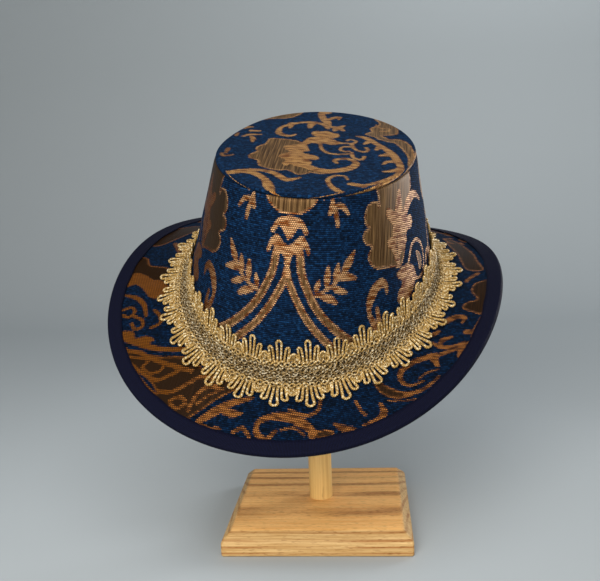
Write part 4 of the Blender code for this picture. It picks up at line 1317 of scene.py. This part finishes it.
# Birch dowel: pale, close-grained, sanded, with fine flecks along its length
def birchMaterial():
    material, tree, shader = newMaterial("sandedBirch", {"Roughness": 0.5})
    place = addNode(tree, "TexCoord").outputs["Object"]
    fibreAt = addNode(tree, "Mapping", {}, {"Vector": place, "Scale": (900.0, 900.0, 14.0)})
    fibre = addNode(tree, "TexNoise", {}, {"Vector": fibreAt, "Scale": 1.0, "Detail": 3.0})
    share = addNode(tree, "MapRange", {}, {0: fibre, 1: 0.3, 2: 0.7})
    colour = addNode(tree, "Mix", blend, {0: share, 6: linear("#d8ae66"), 7: linear("#e8c47c")})
    fleckAt = addNode(tree, "Mapping", {}, {"Vector": place, "Scale": (700.0, 700.0, 90.0)})
    fleck = addNode(tree, "TexNoise", {}, {"Vector": fleckAt, "Scale": 1.0, "Detail": 1.0})
    share = addNode(tree, "MapRange", {}, {0: fleck, 1: 0.66, 2: 0.78, 4: 0.6})
    colour = addNode(tree, "Mix", blend, {0: share, 6: colour, 7: linear("#8a6330")})
    tree.links.new(colour.outputs[2], shader.inputs["Base Color"])
    return material


def buildBase():
    shape = bmesh.new()
    bmesh.ops.create_cube(shape, size=1.0)
    side, edge = stand["side"], stand["edgeHeight"]
    bmesh.ops.transform(shape, verts=shape.verts[:],
                        matrix=Matrix.Translation((0, 0, edge / 2)) @ Matrix.Diagonal((side, side, edge, 1)))
    top = [face for face in shape.faces if face.normal.z > 0.5]
    raised = bmesh.ops.extrude_face_region(shape, geom=top)["geom"]
    bmesh.ops.delete(shape, geom=top, context="FACES_ONLY")
    kept = 1 - 2 * stand["chamferInset"] / side
    for vert in (item for item in raised if isinstance(item, bmesh.types.BMVert)):
        vert.co = Vector((vert.co.x * kept, vert.co.y * kept, standTop))
    bmesh.ops.bevel(shape, geom=shape.edges[:], offset=stand["softEdge"], offset_type="OFFSET", segments=3,
                    profile=0.5, affect="EDGES", material=-1)
    bmesh.ops.recalc_face_normals(shape, faces=shape.faces[:])
    mesh = takeMesh("standBase", shape)
    mesh.set_sharp_from_angle(angle=radians(40))
    return finishPiece("standBase", mesh, oakMaterial(), "oak", "stand_base")


def buildPost():
    shape = bmesh.new()
    radius = stand["postDiameter"] / 2
    bottom = standTop - stand["socketDepth"] + crown["seamGap"]
    top = standTop + stand["postHeight"] - crown["seamGap"]
    uncut = top + 0.02
    bmesh.ops.create_cone(shape, cap_ends=True, segments=64, radius1=radius, radius2=radius,
                          depth=uncut - bottom, matrix=Matrix.Translation((0, 0, (uncut + bottom) / 2)))
    # cut on the slant, where the tip's underside rests
    cut = bmesh.ops.bisect_plane(shape, geom=shape.verts[:] + shape.edges[:] + shape.faces[:],
                                 plane_co=(0, 0, top), plane_no=hatTurn @ Vector((0, 0, 1)), clear_outer=True)
    rim = [item for item in cut["geom_cut"] if isinstance(item, bmesh.types.BMEdge)]
    bmesh.ops.contextual_create(shape, geom=rim)
    bmesh.ops.recalc_face_normals(shape, faces=shape.faces[:])
    mesh = takeMesh("standPost", shape)
    mesh.set_sharp_from_angle(angle=radians(40))
    return finishPiece("standPost", mesh, birchMaterial(), "birch", "stand_post")


buildBase()
buildPost()


# floor, curved up behind as a backdrop, and soft light
studio = {
    "floorFront": -1.6,
    "wallAt": 1.25,
    "wallHeight": 2.4,
    "halfWidth": 2.2,
    "curve": 0.5,
    "floorColour": "#abb2b5",
}
lights = [
    {"name": "keyLight", "place": (-0.28, -1.15, 0.58), "aim": (0.35, 0.0, 0.1), "wide": 0.6, "tall": 0.7,
     "power": 14.0, "colour": "#fff9f0"},
    {"name": "fillLight", "place": (0.65, -1.05, 0.5), "aim": (0.2, 0, 0.1), "wide": 0.7, "tall": 0.7,
     "power": 2.6, "colour": "#fff8f0"},
    {"name": "topLight", "place": (0.0, -0.75, 1.2), "aim": (-0.05, -0.3, 0), "wide": 1.2, "tall": 0.8,
     "power": 9.5, "colour": "#fcfdff"},
    {"name": "backLight", "place": (0.45, 0.75, 1.2), "aim": (0.35, 1.25, 0.75), "wide": 0.5, "tall": 0.5,
     "power": 3.8, "colour": "#f8fbff"},
    {"name": "floorLight", "place": (-0.05, 0.40, 0.38), "aim": (-0.05, 0.22, 0), "wide": 0.4, "tall": 0.15,
     "power": 0.08, "colour": "#fcfdff", "spread": 100},
    {"name": "rimLight", "place": (0.5, 0.34, 0.32), "aim": (0.0, 0.0, 0.22), "wide": 0.2, "tall": 0.3,
     "power": 0.4, "colour": "#fcfdff", "spread": 60},
]


def buildStudio():
    shape = bmesh.new()
    front, wall, curve, half = studio["floorFront"], studio["wallAt"], studio["curve"], studio["halfWidth"]
    left = shape.verts.new((-half, front, 0))
    right = shape.verts.new((half, front, 0))
    edges = [shape.edges.new((left, right))]
    path = [(wall - curve, 0)]
    for step in range(1, 13):
        turn = pi / 2 * step / 12
        path.append((wall - curve + curve * sin(turn), curve - curve * cos(turn)))
    path.append((wall, studio["wallHeight"]))
    for y, z in path:
        grown = bmesh.ops.extrude_edge_only(shape, edges=edges)["geom"]
        edges = [item for item in grown if isinstance(item, bmesh.types.BMEdge)]
        for vert in (item for item in grown if isinstance(item, bmesh.types.BMVert)):
            vert.co = Vector((vert.co.x, y, z))
    mesh = takeMesh("studioFloor", shape)
    paper = newMaterial("paperBackdrop", {
        "Base Color": linear(studio["floorColour"]), "Roughness": 0.85, "Specular IOR Level": 0.2})[0]
    mesh.materials.append(paper)
    item = bpy.data.objects.new("studioFloor", mesh)
    bpy.context.scene.collection.objects.link(item)


def addLights():
    for row in lights:
        data = bpy.data.lights.new(row["name"], "AREA")
        data.shape = "RECTANGLE"
        data.size, data.size_y = row["wide"], row["tall"]
        data.energy = row["power"]
        data.spread = radians(row.get("spread", 180))
        data.color = linear(row["colour"])[:3]
        item = bpy.data.objects.new(row["name"], data)
        item.location = row["place"]
        item.visible_camera = False
        aim = Vector(row["aim"]) - Vector(row["place"])
        item.rotation_euler = aim.to_track_quat("-Z", "Y").to_euler()
        bpy.context.scene.collection.objects.link(item)
    world = bpy.data.worlds.new("studioAir")
    world.use_nodes = True
    sky = world.node_tree.nodes["Background"]
    sky.inputs["Color"].default_value = linear("#e4e6e8")
    sky.inputs["Strength"].default_value = 0.3
    bpy.context.scene.world = world


buildStudio()
addLights()
print("studio ready")
